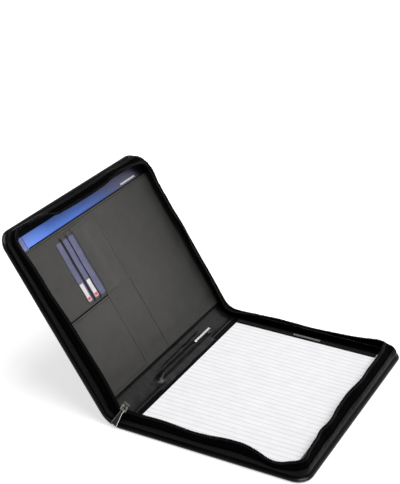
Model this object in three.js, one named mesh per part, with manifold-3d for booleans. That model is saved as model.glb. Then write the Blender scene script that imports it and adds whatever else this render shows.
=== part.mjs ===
// Leather document case, open. Back half flat on its outer face, front half
// standing open about its soft spine, with a zipped gusset band round both.
// Millimetres. +Z up, +Y along the spine, +X from the spine to the back half's
// fore edge. The origin is the centre of the back half's flat outer face.
import * as THREE from 'three';
import Module from 'manifold-3d';
import { mergeVertices } from 'three/addons/utils/BufferGeometryUtils.js';

const wasm = await Module();
wasm.setup();

// ---------------------------------------------------------------- dimensions
const CASE_LENGTH = 340; // along the spine
const PANEL_BACK = 248.5; // flat part of the back half, spine bend to fore edge
const PANEL_FRONT = 252.3; // the bend sits a little off mid spine, so this one is longer
const OPEN_BEND = THREE.MathUtils.degToRad(55.6); // turn of the spine, half to half
const SPINE_RADIUS = 34; // outer face of the bend
const COVER_THICKNESS = 5; // leather, foam and board together
const CORNER_RADIUS = 20;
const TOP_CORNER_RADIUS = 36; // far fore corner of the front half, bent rounder
const GAP = 0.3; // between pieces that lie on each other

const LINING_THICKNESS = 1.2;
const LINING_INSET = 8; // from the cover's edge
const SPINE_CREASE = 21; // from the middle of the spine to the lining seam

const BAND_INSET = 3.5; // foot of the gusset, from the cover's edge
const BAND_THICKNESS = 1.6;
const GUSSET_SHARE = 0.36; // of the band's height, the rest is zip tape
const TAPE_THICKNESS = 1.3;
const TEETH_WIDTH = 2.6;
const TEETH_HEIGHT = 3.2;
const BAND_END = 1.5; // the band of each half stops this far from mid spine

const PEN_LENGTH = 144;
const PEN_RADIUS = 4;
const PEN_TIP_Y = -60.5;
const PEN_STATION = 9; // of the spine arc, from its middle
const PEN_POCKET_HEIGHT = 9.9; // room under the raised part
const PEN_POCKET_LOW = -69.5;
const PEN_POCKET_MOUTH = 76.5;

const PAD = { x: -106.8, y: -164, width: 210, length: 297, thickness: 6 }; // A4
const STRIP = { x: -106.4, y: 122.6, width: 206.4, length: 9, thickness: 1.2 };
const STRIP_PLATE = { x: -21, y: 124.9, width: 40, length: 4.4, thickness: 0.8 };

// On the front half: u from the end of the spine bend, v along the spine.
const POCKET_U = [4.5, 218.5];
const POCKET_V = 158;
const SMALL_POCKET = { u: [8.4, 112.3], v: [-150, -53.5] };
const FOLDER = { u: 26.5, v: -149.5, width: 210, length: 297, thickness: 1.2 }; // A4
const CARD = { u: 118.7, width: 85.6, length: 54, thickness: 0.8, radius: 3.2 };
const CARD_ROWS = [
  { card_v: -94, edge_v: -83 },
  { card_v: -79, edge_v: -69 },
  { card_v: -67.5, edge_v: -55.5 },
];
const SLOT_U = [114.5, 212];
const SLOT_END_V = 1.5;
const SHEET_THICKNESS = 1;

const BADGE = { edge: 18.5, side: 18.5, width: 11.5, length: 12.5, thickness: 0.8 };

const SLIDER = { x: -117, y: -168.5, z: 34, width: 8.4, length: 12, depth: 5.2 };
const PULL = { top: 2.3, bottom: 4.4, length: 32, thickness: 1.2 };

// Band of each half, followed from the near end of the spine, round the near
// side, the fore edge and the far side. at: distance from mid spine on the
// near and far sides, y on the fore edge. lean: inward, degrees. height: mm.
const BACK_BAND = [
  { side: 'near', at: 1.5, lean: 4, height: 21.5 },
  { side: 'near', at: 20, lean: 3, height: 22 },
  { side: 'near', at: 48, lean: -5, height: 23.8 },
  { side: 'near', at: 68, lean: -5, height: 24.2 },
  { side: 'near', at: 95, lean: -7, height: 23.8 },
  { side: 'near', at: 115, lean: -8, height: 22.6 },
  { side: 'near', at: 138, lean: -7, height: 23.6 },
  { side: 'near', at: 166, lean: -4, height: 26.4 },
  { side: 'near', at: 188, lean: -6, height: 26 },
  { side: 'near', at: 205, lean: -10, height: 22 },
  { side: 'near', at: 218, lean: -14, height: 16.5 },
  { side: 'near', at: 231, lean: -14, height: 17.5 },
  { side: 'near', at: 243, lean: -8, height: 22 },
  { side: 'fore', at: -148, lean: 9, height: 26 },
  { side: 'fore', at: -136, lean: 12, height: 27 },
  { side: 'fore', at: -115, lean: 15, height: 27 },
  { side: 'fore', at: -96, lean: 21, height: 27 },
  { side: 'fore', at: -77, lean: 15, height: 27 },
  { side: 'fore', at: -34, lean: 23, height: 27 },
  { side: 'fore', at: 3, lean: 25, height: 27 },
  { side: 'fore', at: 27, lean: 16, height: 27 },
  { side: 'fore', at: 67, lean: 18, height: 27 },
  { side: 'fore', at: 95, lean: 19, height: 27 },
  { side: 'fore', at: 125, lean: 22, height: 27 },
  { side: 'fore', at: 146, lean: 28, height: 27 },
  { side: 'far', at: 244, lean: 37, height: 27 },
  { side: 'far', at: 230, lean: 39, height: 27 },
  { side: 'far', at: 217, lean: 43, height: 27 },
  { side: 'far', at: 202, lean: 47, height: 27 },
  { side: 'far', at: 188, lean: 50, height: 27 },
  { side: 'far', at: 174, lean: 51, height: 27 },
  { side: 'far', at: 145, lean: 55, height: 27 },
  { side: 'far', at: 114, lean: 55, height: 27 },
  { side: 'far', at: 84, lean: 53, height: 27 },
  { side: 'far', at: 68, lean: 55, height: 26.6 },
  { side: 'far', at: 53, lean: 58, height: 26 },
  { side: 'far', at: 38, lean: 63, height: 25 },
  { side: 'far', at: 22, lean: 67, height: 23.5 },
  { side: 'far', at: 1.5, lean: 66, height: 22 },
];
const FRONT_BAND = [
  { side: 'near', at: 1.5, lean: 4, height: 21.5 },
  { side: 'near', at: 29, lean: 10, height: 23 },
  { side: 'near', at: 58, lean: 8, height: 25.5 },
  { side: 'near', at: 88, lean: 6, height: 26.5 },
  { side: 'near', at: 108, lean: 5, height: 27 },
  { side: 'near', at: 129, lean: 1, height: 27 },
  { side: 'near', at: 156, lean: -1, height: 27 },
  { side: 'near', at: 178, lean: -4, height: 27 },
  { side: 'near', at: 199, lean: -6, height: 27 },
  { side: 'near', at: 220, lean: -8, height: 27 },
  { side: 'near', at: 243, lean: -5, height: 27 },
  { side: 'fore', at: -145, lean: -1, height: 27 },
  { side: 'fore', at: -121, lean: 3, height: 27 },
  { side: 'fore', at: -102, lean: 7, height: 27 },
  { side: 'fore', at: -84, lean: 21, height: 27 },
  { side: 'fore', at: -66, lean: 24, height: 27 },
  { side: 'fore', at: -43, lean: 26, height: 27 },
  { side: 'fore', at: -19, lean: 27, height: 27 },
  { side: 'fore', at: 5, lean: 27, height: 27 },
  { side: 'fore', at: 31, lean: 25, height: 27 },
  { side: 'fore', at: 53, lean: 19, height: 27 },
  { side: 'fore', at: 72, lean: 15, height: 27 },
  { side: 'fore', at: 84, lean: 17, height: 27 },
  { side: 'fore', at: 120, lean: 27, height: 27 },
  { side: 'fore', at: 134, lean: 34, height: 27 },
  { side: 'fore', at: 146, lean: 42, height: 27 },
  { side: 'far', at: 246, lean: 50, height: 27 },
  { side: 'far', at: 238, lean: 52, height: 27 },
  { side: 'far', at: 222, lean: 51, height: 27 },
  { side: 'far', at: 206, lean: 53, height: 27 },
  { side: 'far', at: 189, lean: 57, height: 27 },
  { side: 'far', at: 173, lean: 59, height: 27 },
  { side: 'far', at: 135, lean: 52, height: 27 },
  { side: 'far', at: 112, lean: 57, height: 27 },
  { side: 'far', at: 59, lean: 58, height: 26 },
  { side: 'far', at: 22, lean: 64, height: 24 },
  { side: 'far', at: 1.5, lean: 66, height: 22 },
];

// ------------------------------------------------------------------ geometry
const HALF_ARC = (SPINE_RADIUS * OPEN_BEND) / 2;
const FORE_BACK = HALF_ARC + PANEL_BACK;
const FORE_FRONT = HALF_ARC + PANEL_FRONT;
const SIDE = CASE_LENGTH / 2;
const LINING_TOP = COVER_THICKNESS + GAP + LINING_THICKNESS;

// A point of the unrolled case: s across it (back half positive, front half
// negative, 0 at mid spine), v along the spine, n above the outer face.
function place(s, n, v) {
  if (s >= HALF_ARC) {
    return new THREE.Vector3(-PANEL_BACK / 2 + s - HALF_ARC, v, n);
  }
  const a = s > -HALF_ARC ? (HALF_ARC - s) / SPINE_RADIUS : OPEN_BEND;
  const u = s > -HALF_ARC ? 0 : -s - HALF_ARC;
  return new THREE.Vector3(
    -PANEL_BACK / 2 - (SPINE_RADIUS - n) * Math.sin(a) - u * Math.cos(a),
    v,
    SPINE_RADIUS - (SPINE_RADIUS - n) * Math.cos(a) + u * Math.sin(a),
  );
}

function signedVolume(positions, index) {
  const a = new THREE.Vector3();
  const b = new THREE.Vector3();
  const c = new THREE.Vector3();
  let total = 0;
  for (let i = 0; i < index.length; i += 3) {
    a.fromArray(positions, index[i] * 3);
    b.fromArray(positions, index[i + 1] * 3);
    c.fromArray(positions, index[i + 2] * 3);
    total += a.dot(b.cross(c)) / 6;
  }
  return total;
}

function closedGeometry(points, index) {
  const positions = points.flatMap((p) => [p.x, p.y, p.z]);
  if (signedVolume(positions, index) < 0) {
    for (let i = 0; i < index.length; i += 3) {
      [index[i + 1], index[i + 2]] = [index[i + 2], index[i + 1]];
    }
  }
  const geometry = new THREE.BufferGeometry();
  geometry.setAttribute('position', new THREE.Float32BufferAttribute(positions, 3));
  geometry.setIndex(index);
  geometry.computeVertexNormals();
  return geometry;
}

// Skins a run of closed sections, all with the same number of points, and caps
// both ends. plan: the section as flat points, for the caps.
function loft(sections, plan) {
  const count = sections[0].length;
  const index = [];
  for (let i = 0; i + 1 < sections.length; i += 1) {
    for (let k = 0; k < count; k += 1) {
      const a = i * count + k;
      const b = i * count + ((k + 1) % count);
      index.push(a, b, b + count, a, b + count, a + count);
    }
  }
  const last = (sections.length - 1) * count;
  const caps = THREE.ShapeUtils.triangulateShape(plan, []);
  const outward = THREE.ShapeUtils.isClockWise(plan) ? 1 : -1;
  for (const [a, b, c] of caps) {
    if (outward > 0) {
      index.push(a, b, c, last + a, last + c, last + b);
    } else {
      index.push(a, c, b, last + a, last + b, last + c);
    }
  }
  return { points: sections.flat(), index };
}

function solid(sections, plan) {
  const made = loft(sections, plan);
  return closedGeometry(made.points, orient(made));
}

// The caps' winding is made to agree with the skin's by edge matching.
function orient({ points, index }) {
  const faces = [];
  for (let i = 0; i < index.length; i += 3) faces.push(index.slice(i, i + 3));
  const byEdge = new Map();
  faces.forEach((f, n) => {
    for (let k = 0; k < 3; k += 1) {
      const key = [f[k], f[(k + 1) % 3]].sort((x, y) => x - y).join();
      byEdge.set(key, [...(byEdge.get(key) ?? []), n]);
    }
  });
  const has = (f, a, b) => [0, 1, 2].some((k) => f[k] === a && f[(k + 1) % 3] === b);
  const seen = new Set([0]);
  const queue = [0];
  while (queue.length) {
    const n = queue.pop();
    const f = faces[n];
    for (let k = 0; k < 3; k += 1) {
      const a = f[k];
      const b = f[(k + 1) % 3];
      for (const m of byEdge.get([a, b].sort((x, y) => x - y).join())) {
        if (m === n || seen.has(m)) continue;
        if (has(faces[m], a, b)) faces[m] = [faces[m][0], faces[m][2], faces[m][1]];
        seen.add(m);
        queue.push(m);
      }
    }
  }
  return faces.flat();
}

// Stations across a rounded panel from s0 to s1: where they lie, and how far
// the corner draws the sides in there. farRadius: of the corner at s0 on +Y.
function panelStations(s0, s1, radius, farRadius, steps = 5) {
  const rows = [];
  const turned = (r) => Array.from(
    { length: steps + 1 },
    (_, i) => r * (1 - Math.cos((i / steps) * (Math.PI / 2))),
  );
  const drawn = (d, r) => r - Math.sqrt(Math.max(0, r * r - Math.max(0, r - d) ** 2));
  const ends = farRadius === radius ? turned(radius) : [...turned(radius), ...turned(farRadius).slice(1)];
  for (const d of ends.sort((a, b) => a - b)) {
    rows.push({ s: s0 + d, draw: drawn(d, radius), farDraw: drawn(d, farRadius) });
  }
  const bends = [-1, -0.75, -0.5, -0.25, 0, 0.25, 0.5, 0.75, 1].map((k) => k * HALF_ARC);
  for (const s of bends) {
    if (s > s0 + radius + 0.5 && s < s1 - radius - 0.5) rows.push({ s, draw: 0, farDraw: 0 });
  }
  for (let i = steps; i >= 0; i -= 1) {
    const t = (i / steps) * (Math.PI / 2);
    const draw = radius * (1 - Math.sin(t));
    rows.push({ s: s1 - radius * (1 - Math.cos(t)), draw, farDraw: draw });
  }
  return rows;
}

// A panel of the unrolled case, bent with the spine, with rounded corners and
// with its two long edges eased by edge.
function bentPanel({ s0, s1, v, n0, n1, radius, farRadius = radius, edge }) {
  const sections = [];
  let plan = null;
  for (const { s, draw, farDraw } of panelStations(s0, s1, radius, farRadius)) {
    const w = v - draw;
    const far = v - farDraw;
    const loop = edge
      ? [
          [-w + edge, n0], [far - edge, n0], [far, n0 + edge], [far, n1 - edge],
          [far - edge, n1], [-w + edge, n1], [-w, n1 - edge], [-w, n0 + edge],
        ]
      : [[-w, n0], [far, n0], [far, n1], [-w, n1]];
    plan ??= loop.map(([x, y]) => new THREE.Vector2(x, y));
    sections.push(loop.map(([y, n]) => place(s, n, y)));
  }
  return solid(sections, plan);
}

// A sheet over a grid of stations, with its upper face at top(s, v).
function sheet(stations, rows, top, thickness) {
  const points = [];
  for (const s of stations) for (const v of rows) points.push(place(s, top(s, v), v));
  for (const s of stations) for (const v of rows) points.push(place(s, top(s, v) - thickness, v));
  const across = rows.length;
  const under = stations.length * across;
  const index = [];
  const quad = (a, b, c, d) => index.push(a, b, c, a, c, d);
  for (let i = 0; i + 1 < stations.length; i += 1) {
    for (let k = 0; k + 1 < across; k += 1) {
      const a = i * across + k;
      quad(a, a + across, a + across + 1, a + 1);
      quad(under + a, under + a + 1, under + a + across + 1, under + a + across);
    }
  }
  for (let k = 0; k + 1 < across; k += 1) {
    const far = (stations.length - 1) * across + k;
    quad(k, k + 1, under + k + 1, under + k);
    quad(far + 1, far, under + far, under + far + 1);
  }
  for (let i = 0; i + 1 < stations.length; i += 1) {
    const a = i * across;
    const b = a + across - 1;
    quad(a + across, a, under + a, under + a + across);
    quad(b, b + across, under + b + across, under + b);
  }
  return closedGeometry(points, index);
}

// The foot line of one half's band, with the inward direction and the lean and
// height from its table. sign: 1 for the back half, -1 for the front half.
function bandPath(table, sign) {
  const r = CORNER_RADIUS - BAND_INSET;
  const rFar = (sign > 0 ? CORNER_RADIUS : TOP_CORNER_RADIUS) - BAND_INSET;
  const vSide = SIDE - BAND_INSET;
  const sFore = (sign > 0 ? FORE_BACK : FORE_FRONT) - BAND_INSET;
  const corner = (Math.PI / 2) * r;
  const farCorner = (Math.PI / 2) * rFar;
  const runSide = sFore - r;
  const runFar = sFore - rFar;
  const runFore = 2 * vSide - r - rFar;
  const total = runSide + corner + runFore + farCorner + runFar;
  const along = ({ side, at }) => {
    if (side === 'near') return at;
    if (side === 'fore') return runSide + corner + (at + vSide - r);
    return total - at;
  };
  const rows = table.map((row) => ({ ...row, t: along(row) }));
  const shape = (t) => {
    let i = 0;
    while (i + 2 < rows.length && rows[i + 1].t < t) i += 1;
    const k = THREE.MathUtils.clamp((t - rows[i].t) / (rows[i + 1].t - rows[i].t), 0, 1);
    const ease = k * k * (3 - 2 * k);
    return {
      lean: THREE.MathUtils.degToRad(THREE.MathUtils.lerp(rows[i].lean, rows[i + 1].lean, ease)),
      height: THREE.MathUtils.lerp(rows[i].height, rows[i + 1].height, ease),
    };
  };
  const stops = [BAND_END, 4.5, 8.5, 12.5, HALF_ARC];
  const out = [];
  const add = (t, s, v, ns, nv) => out.push({ s: sign * s, v, ns: sign * ns, nv, ...shape(t) });
  const straight = [25, 37, 50, 75, 100, 120, 140, 156, 172, 188, 197, 205, 212, 218, 224, 231, 238];
  for (const s of [...stops, ...straight]) add(s, s, -vSide, 0, 1);
  const steps = 6;
  for (let i = 0; i <= steps; i += 1) {
    const a = (i / steps) * (Math.PI / 2);
    add(runSide + a * r, runSide + r * Math.sin(a), -vSide + r - r * Math.cos(a), -Math.sin(a), Math.cos(a));
  }
  const foreStops = [-132, -118, -106, -94, -83, -71, -58, -45, -31, -20, -8, 3, 18, 34, 50, 66, 80, 109, 130];
  for (const v of foreStops) add(runSide + corner + v + vSide - r, sFore, v, -1, 0);
  for (let i = 0; i <= steps; i += 1) {
    const a = (i / steps) * (Math.PI / 2);
    add(
      runSide + corner + runFore + a * rFar,
      runFar + rFar * Math.cos(a),
      vSide - rFar + rFar * Math.sin(a),
      -Math.cos(a),
      -Math.sin(a),
    );
  }
  for (const s of [...stops, ...straight].filter((k) => k < runFar - 1).reverse()) {
    add(total - s, s, vSide, 0, -1);
  }
  return out;
}

// Sweeps a section of the band, given as [across, share of the height, extra
// height] rows, along its foot line.
function bandSolid(path, profile) {
  const sections = path.map((p) =>
    profile(p.height).map(([across, up]) => {
      const inward = up * Math.sin(p.lean) + across * Math.cos(p.lean);
      const n =
        COVER_THICKNESS + GAP + BAND_THICKNESS * Math.max(0, Math.sin(p.lean)) +
        up * Math.cos(p.lean) - across * Math.sin(p.lean);
      return place(p.s + p.ns * inward, n, p.v + p.nv * inward);
    }),
  );
  const plan = profile(path[0].height).map(([x, y]) => new THREE.Vector2(x, y));
  return solid(sections, plan);
}

const gussetProfile = (height) => {
  const top = height * GUSSET_SHARE;
  const belly = -1.2;
  return [
    [0, 0], [BAND_THICKNESS, 0], [BAND_THICKNESS + belly, top / 2], [BAND_THICKNESS, top],
    [0, top], [belly, top / 2],
  ];
};
const tapeProfile = (height) => {
  const low = height * GUSSET_SHARE + GAP;
  const neck = height - TEETH_HEIGHT;
  const swell = (TEETH_WIDTH - TAPE_THICKNESS) / 2;
  return [
    [0, low], [TAPE_THICKNESS, low], [TAPE_THICKNESS, neck], [TAPE_THICKNESS + swell, neck + 0.6],
    [TAPE_THICKNESS + swell, height], [-swell, height], [-swell, neck + 0.6], [0, neck],
  ];
};

// A flat plate with rounded corners, its low corner at (x, y), from z up.
// radius: one number, or the low x and the high x side's, and the low x high y
// corner's.
function plate({ x, y, width, length, thickness, radius = 0 }, z) {
  const [left, right, leftFar = left] = Array.isArray(radius) ? radius : [radius, radius];
  const shape = new THREE.Shape();
  const corner = (cx, cy, r, quarter) => {
    if (r) {
      const turn = (quarter * Math.PI) / 2;
      shape.absarc(cx, cy, r, turn, turn + Math.PI / 2, false);
    } else {
      shape.lineTo(cx, cy);
    }
  };
  shape.moveTo(x + left, y);
  corner(x + width - right, y + right, right, 3);
  corner(x + width - right, y + length - right, right, 0);
  corner(x + leftFar, y + length - leftFar, leftFar, 1);
  corner(x + left, y + left, left, 2);
  const geometry = new THREE.ExtrudeGeometry(shape, {
    depth: thickness, bevelEnabled: false, curveSegments: 4,
  });
  return geometry.translate(0, 0, z);
}

// An upright outline in a plane across X, extruded to a width about x = 0.
// outline and hole: [y, z] rows.
function acrossX(outline, width, hole) {
  const shape = new THREE.Shape(outline.map(([y, z]) => new THREE.Vector2(y, z)));
  if (hole) shape.holes.push(new THREE.Path(hole.map(([y, z]) => new THREE.Vector2(y, z))));
  const geometry = new THREE.ExtrudeGeometry(shape, { depth: width, bevelEnabled: false });
  geometry.translate(0, 0, -width / 2);
  return geometry.applyMatrix4(new THREE.Matrix4().makeBasis(
    new THREE.Vector3(0, 1, 0), new THREE.Vector3(0, 0, 1), new THREE.Vector3(1, 0, 0),
  ));
}

function toSolid(geometry) {
  const bare = geometry.clone();
  bare.deleteAttribute('normal');
  bare.deleteAttribute('uv');
  const merged = mergeVertices(bare, 1e-4);
  return new wasm.Manifold(new wasm.Mesh({
    numProp: 3,
    vertProperties: Float32Array.from(merged.attributes.position.array),
    triVerts: Uint32Array.from(merged.index.array),
  }));
}

function fromSolid(manifold) {
  const made = manifold.getMesh();
  const geometry = new THREE.BufferGeometry();
  geometry.setAttribute('position', new THREE.BufferAttribute(new Float32Array(made.vertProperties), 3));
  geometry.setIndex(Array.from(made.triVerts));
  geometry.computeVertexNormals();
  return geometry;
}

// ----------------------------------------------------------------- materials
const finish = (color, roughness, metalness = 0) =>
  new THREE.MeshStandardMaterial({ color, roughness, metalness });
const exteriorLeather = finish(0x16181c, 0.42);
const liningLeather = finish(0x3c3b3a, 0.55);
const pocketLeather = finish(0x454443, 0.55);
const gussetLeather = finish(0x101012, 0.6);
const tapeFabric = finish(0x0b0b0c, 0.85);
const paper = finish(0xf2f2f4, 0.8);
const stripLeather = finish(0x4a4a4b, 0.55);
const dullMetal = finish(0x9b9b9a, 0.4, 0.8);
const brightMetal = finish(0xd8d6d0, 0.25, 1);
const penPlastic = finish(0x151516, 0.35);
const cardPlastic = finish(0x5a5d6c, 0.4);
const folderPlastic = finish(0x2f6fd6, 0.35);

// -------------------------------------------------------------------- pieces
const documentCase = new THREE.Group();
const add = (group, name, geometry, material) => {
  const mesh = new THREE.Mesh(geometry, material);
  mesh.name = name;
  group.add(mesh);
  return mesh;
};

add(documentCase, 'outer_cover', bentPanel({
  s0: -FORE_FRONT, s1: FORE_BACK, v: SIDE, n0: 0, n1: COVER_THICKNESS, radius: CORNER_RADIUS,
  farRadius: TOP_CORNER_RADIUS, edge: 1.6,
}), exteriorLeather);

const lining = { v: SIDE - LINING_INSET, n0: COVER_THICKNESS + GAP, n1: LINING_TOP };
add(documentCase, 'back_lining', plate({
  x: place(SPINE_CREASE + GAP, 0, 0).x,
  y: -lining.v,
  width: FORE_BACK - LINING_INSET - SPINE_CREASE - GAP,
  length: 2 * lining.v,
  thickness: LINING_THICKNESS,
  radius: [0, CORNER_RADIUS - LINING_INSET + 4],
}, COVER_THICKNESS + GAP), liningLeather);
add(documentCase, 'spine_lining', bentPanel({
  s0: -SPINE_CREASE, s1: SPINE_CREASE, radius: 0.001, ...lining,
}), liningLeather);

const backPath = bandPath(BACK_BAND, 1);
const frontPath = bandPath(FRONT_BAND, -1);
add(documentCase, 'back_gusset', bandSolid(backPath, gussetProfile), gussetLeather);
add(documentCase, 'front_gusset', bandSolid(frontPath, gussetProfile), gussetLeather);
add(documentCase, 'back_zip_tape', bandSolid(backPath, tapeProfile), tapeFabric);
add(documentCase, 'front_zip_tape', bandSolid(frontPath, tapeProfile), tapeFabric);

// Writing pad, its head strip and the strip's plain plate.
const padTop = LINING_TOP + GAP + PAD.thickness;
add(documentCase, 'pad', plate(PAD, LINING_TOP + GAP), paper);
add(documentCase, 'pad_strip', plate(STRIP, padTop + GAP), stripLeather);
add(documentCase, 'strip_plate', plate(STRIP_PLATE, padTop + STRIP.thickness + 2 * GAP), dullMetal);

// Pen pocket: a sheet on the spine lining with a raised run over the pen.
const raisedHalf = 13.8;
const rise = (d) => (Math.abs(d) < raisedHalf ? Math.cos((Math.PI * d) / (2 * raisedHalf)) ** 2 : 0);
const penEase = (v) => THREE.MathUtils.smoothstep(v, PEN_POCKET_LOW + 3, PEN_POCKET_LOW + 12);
const pocketStations = [-14, -10, ...Array.from({ length: 15 }, (_, i) => PEN_STATION + (i - 7) * 1.95)];
const pocketRows = [
  PEN_POCKET_LOW, PEN_POCKET_LOW + 3, PEN_POCKET_LOW + 5.5, PEN_POCKET_LOW + 8,
  PEN_POCKET_LOW + 12, -20, 40, PEN_POCKET_MOUTH,
];
add(documentCase, 'pen_pocket', sheet(
  pocketStations,
  pocketRows,
  (s, v) => LINING_TOP + GAP + SHEET_THICKNESS + PEN_POCKET_HEIGHT * rise(s - PEN_STATION) * penEase(v),
  SHEET_THICKNESS,
), pocketLeather);

// Pen along the spine, with its clip over the pocket's mouth.
const pen = new THREE.Group();
const penFoot = place(PEN_STATION, LINING_TOP + GAP, 0);
pen.position.copy(penFoot);
pen.rotation.y = (HALF_ARC - PEN_STATION) / SPINE_RADIUS;
documentCase.add(pen);
const barrel = [
  [0, 0], [0.9, 0.3], [1.1, 4], [2.6, 14], [3.5, 26], [PEN_RADIUS, 44],
  [PEN_RADIUS, PEN_LENGTH - 2.5], [PEN_RADIUS - 1.4, PEN_LENGTH], [0, PEN_LENGTH],
].map(([r, y]) => new THREE.Vector2(r, y));
const penMesh = add(pen, 'pen', new THREE.LatheGeometry(barrel, 20), penPlastic);
penMesh.position.set(0, PEN_TIP_Y, PEN_RADIUS + 0.05);
const clipFoot = 2 * PEN_RADIUS + 0.05 + GAP;
const clipRest = PEN_POCKET_HEIGHT + SHEET_THICKNESS + 2 * GAP;
const clipEnd = PEN_TIP_Y + PEN_LENGTH - 3;
add(pen, 'pen_clip', acrossX([
  [37, clipRest], [38, clipRest - 0.1], [40, clipRest], [PEN_POCKET_MOUTH + 1.2, clipRest],
  [PEN_POCKET_MOUTH + 1.2, clipFoot], [clipEnd, clipFoot], [clipEnd, clipRest + 0.6],
  [clipEnd - 1, clipRest + 1.2], [38, clipRest + 1.2], [37, clipRest + 0.8],
], 3), brightMetal);

// Front half, in its own plane: x runs from the spine bend towards -u.
const front = new THREE.Group();
front.position.copy(place(-HALF_ARC, 0, 0));
front.rotation.y = OPEN_BEND;
documentCase.add(front);
const frontPlate = (name, { u, v, radius = 0, thickness }, z, material) => add(
  front,
  name,
  plate({ x: -u[1], y: v[0], width: u[1] - u[0], length: v[1] - v[0], thickness, radius }, z),
  material,
);
frontPlate('front_lining', {
  u: [SPINE_CREASE + GAP - HALF_ARC, PANEL_FRONT - LINING_INSET],
  v: [-lining.v, lining.v],
  thickness: LINING_THICKNESS,
  radius: [CORNER_RADIUS - LINING_INSET + 4, 0, TOP_CORNER_RADIUS - LINING_INSET + 4],
}, COVER_THICKNESS + GAP, liningLeather);
let level = LINING_TOP + GAP;
const stack = (name, spec, material) => {
  frontPlate(name, spec, level, material);
  level += spec.thickness + GAP;
};
stack('document_folder', {
  u: [FOLDER.u, FOLDER.u + FOLDER.width],
  v: [FOLDER.v, FOLDER.v + FOLDER.length],
  thickness: FOLDER.thickness,
  radius: 4,
}, folderPlastic);
stack('document_pocket', { u: POCKET_U, v: [-POCKET_V, POCKET_V], thickness: SHEET_THICKNESS }, pocketLeather);
frontPlate('small_pocket', { ...SMALL_POCKET, thickness: SHEET_THICKNESS }, level, pocketLeather);
CARD_ROWS.forEach(({ card_v, edge_v }, i) => {
  stack(`card_${i + 1}`, {
    u: [CARD.u, CARD.u + CARD.width],
    v: [card_v, card_v + CARD.length],
    thickness: CARD.thickness,
    radius: CARD.radius,
  }, cardPlastic);
  stack(`card_slot_${i + 1}`, {
    u: SLOT_U, v: [edge_v, SLOT_END_V], thickness: SHEET_THICKNESS,
  }, pocketLeather);
});
frontPlate('badge_plate', {
  u: [PANEL_FRONT - BADGE.edge - BADGE.width, PANEL_FRONT - BADGE.edge],
  v: [-SIDE + BADGE.side, -SIDE + BADGE.side + BADGE.length],
  thickness: BADGE.thickness,
  radius: 1.2,
}, -GAP - BADGE.thickness, dullMetal);

// Zip slider at the near end of the spine, its pull hanging on its bridge.
const slider = new THREE.Group();
slider.position.set(SLIDER.x, SLIDER.y, SLIDER.z);
slider.rotation.y = OPEN_BEND / 2;
documentCase.add(slider);
const face = -SLIDER.depth / 2;
const body = acrossX([
  [face, -SLIDER.length / 2 + 1], [face + 1, -SLIDER.length / 2], [-face - 1, -SLIDER.length / 2],
  [-face, -SLIDER.length / 2 + 1], [-face, SLIDER.length / 2 - 1], [-face - 1, SLIDER.length / 2],
  [face + 1, SLIDER.length / 2], [face, SLIDER.length / 2 - 1],
], SLIDER.width);
const bridge = acrossX([
  [face + 0.5, 3.4], [face - 2.2, 3], [face - 3.3, 1.8], [face - 3.3, -1.8], [face - 2.3, -2.9], [face + 0.5, -3.1],
], 1.6, [
  [face, 2.2], [face - 1.6, 1.9], [face - 2.1, 1.2], [face - 2.1, -1.1], [face - 1.6, -1.7], [face, -1.9],
]);
add(slider, 'zip_slider', fromSolid(toSolid(body).add(toSolid(bridge))), brightMetal);

const pullShape = new THREE.Shape([
  [-PULL.top + 0.6, 0.6], [PULL.top - 0.6, 0.6], [PULL.top, 0], [PULL.top, -5.5], [PULL.top - 0.3, -7],
  [PULL.bottom, 0.6 - PULL.length + 1.2], [PULL.bottom - 1.2, 0.6 - PULL.length],
  [-PULL.bottom + 1.2, 0.6 - PULL.length], [-PULL.bottom, 0.6 - PULL.length + 1.2],
  [-PULL.top + 0.3, -7], [-PULL.top, -5.5], [-PULL.top, 0],
].map(([x, z]) => new THREE.Vector2(x, z)));
pullShape.holes.push(new THREE.Path([
  [-1.25, -0.6], [-1.25, -4.4], [1.25, -4.4], [1.25, -0.6],
].map(([x, z]) => new THREE.Vector2(x, z))));
const pull = add(slider, 'zip_pull', new THREE.ExtrudeGeometry(pullShape, {
  depth: PULL.thickness, bevelEnabled: false,
}).translate(0, 0, -PULL.thickness / 2).rotateX(Math.PI / 2), dullMetal);
pull.position.set(0, face - 1.15, -0.6);

export default documentCase;
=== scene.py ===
"""An open zipped leather document case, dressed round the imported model.

Metres in Blender; the helpers below take millimetres. The unrolled case has
s across it (back half positive, front half negative, 0 at mid spine), v along
the spine and n above the outer face, as in the part's own source.
"""
import bpy
import math
import numpy as np
from mathutils import Matrix, Vector


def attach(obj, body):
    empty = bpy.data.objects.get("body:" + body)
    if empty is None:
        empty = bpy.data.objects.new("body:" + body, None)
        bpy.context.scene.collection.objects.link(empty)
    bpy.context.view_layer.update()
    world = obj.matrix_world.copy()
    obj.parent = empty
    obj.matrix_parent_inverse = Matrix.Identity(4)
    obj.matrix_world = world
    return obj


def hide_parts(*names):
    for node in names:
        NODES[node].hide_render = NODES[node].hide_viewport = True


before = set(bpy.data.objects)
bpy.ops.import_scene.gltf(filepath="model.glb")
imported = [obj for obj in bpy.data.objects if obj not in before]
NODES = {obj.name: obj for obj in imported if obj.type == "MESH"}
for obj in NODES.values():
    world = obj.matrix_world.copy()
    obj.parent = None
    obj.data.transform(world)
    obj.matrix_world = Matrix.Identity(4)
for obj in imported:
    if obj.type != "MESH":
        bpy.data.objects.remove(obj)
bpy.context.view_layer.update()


MM = 0.001
RNG = np.random.default_rng(7)

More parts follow.
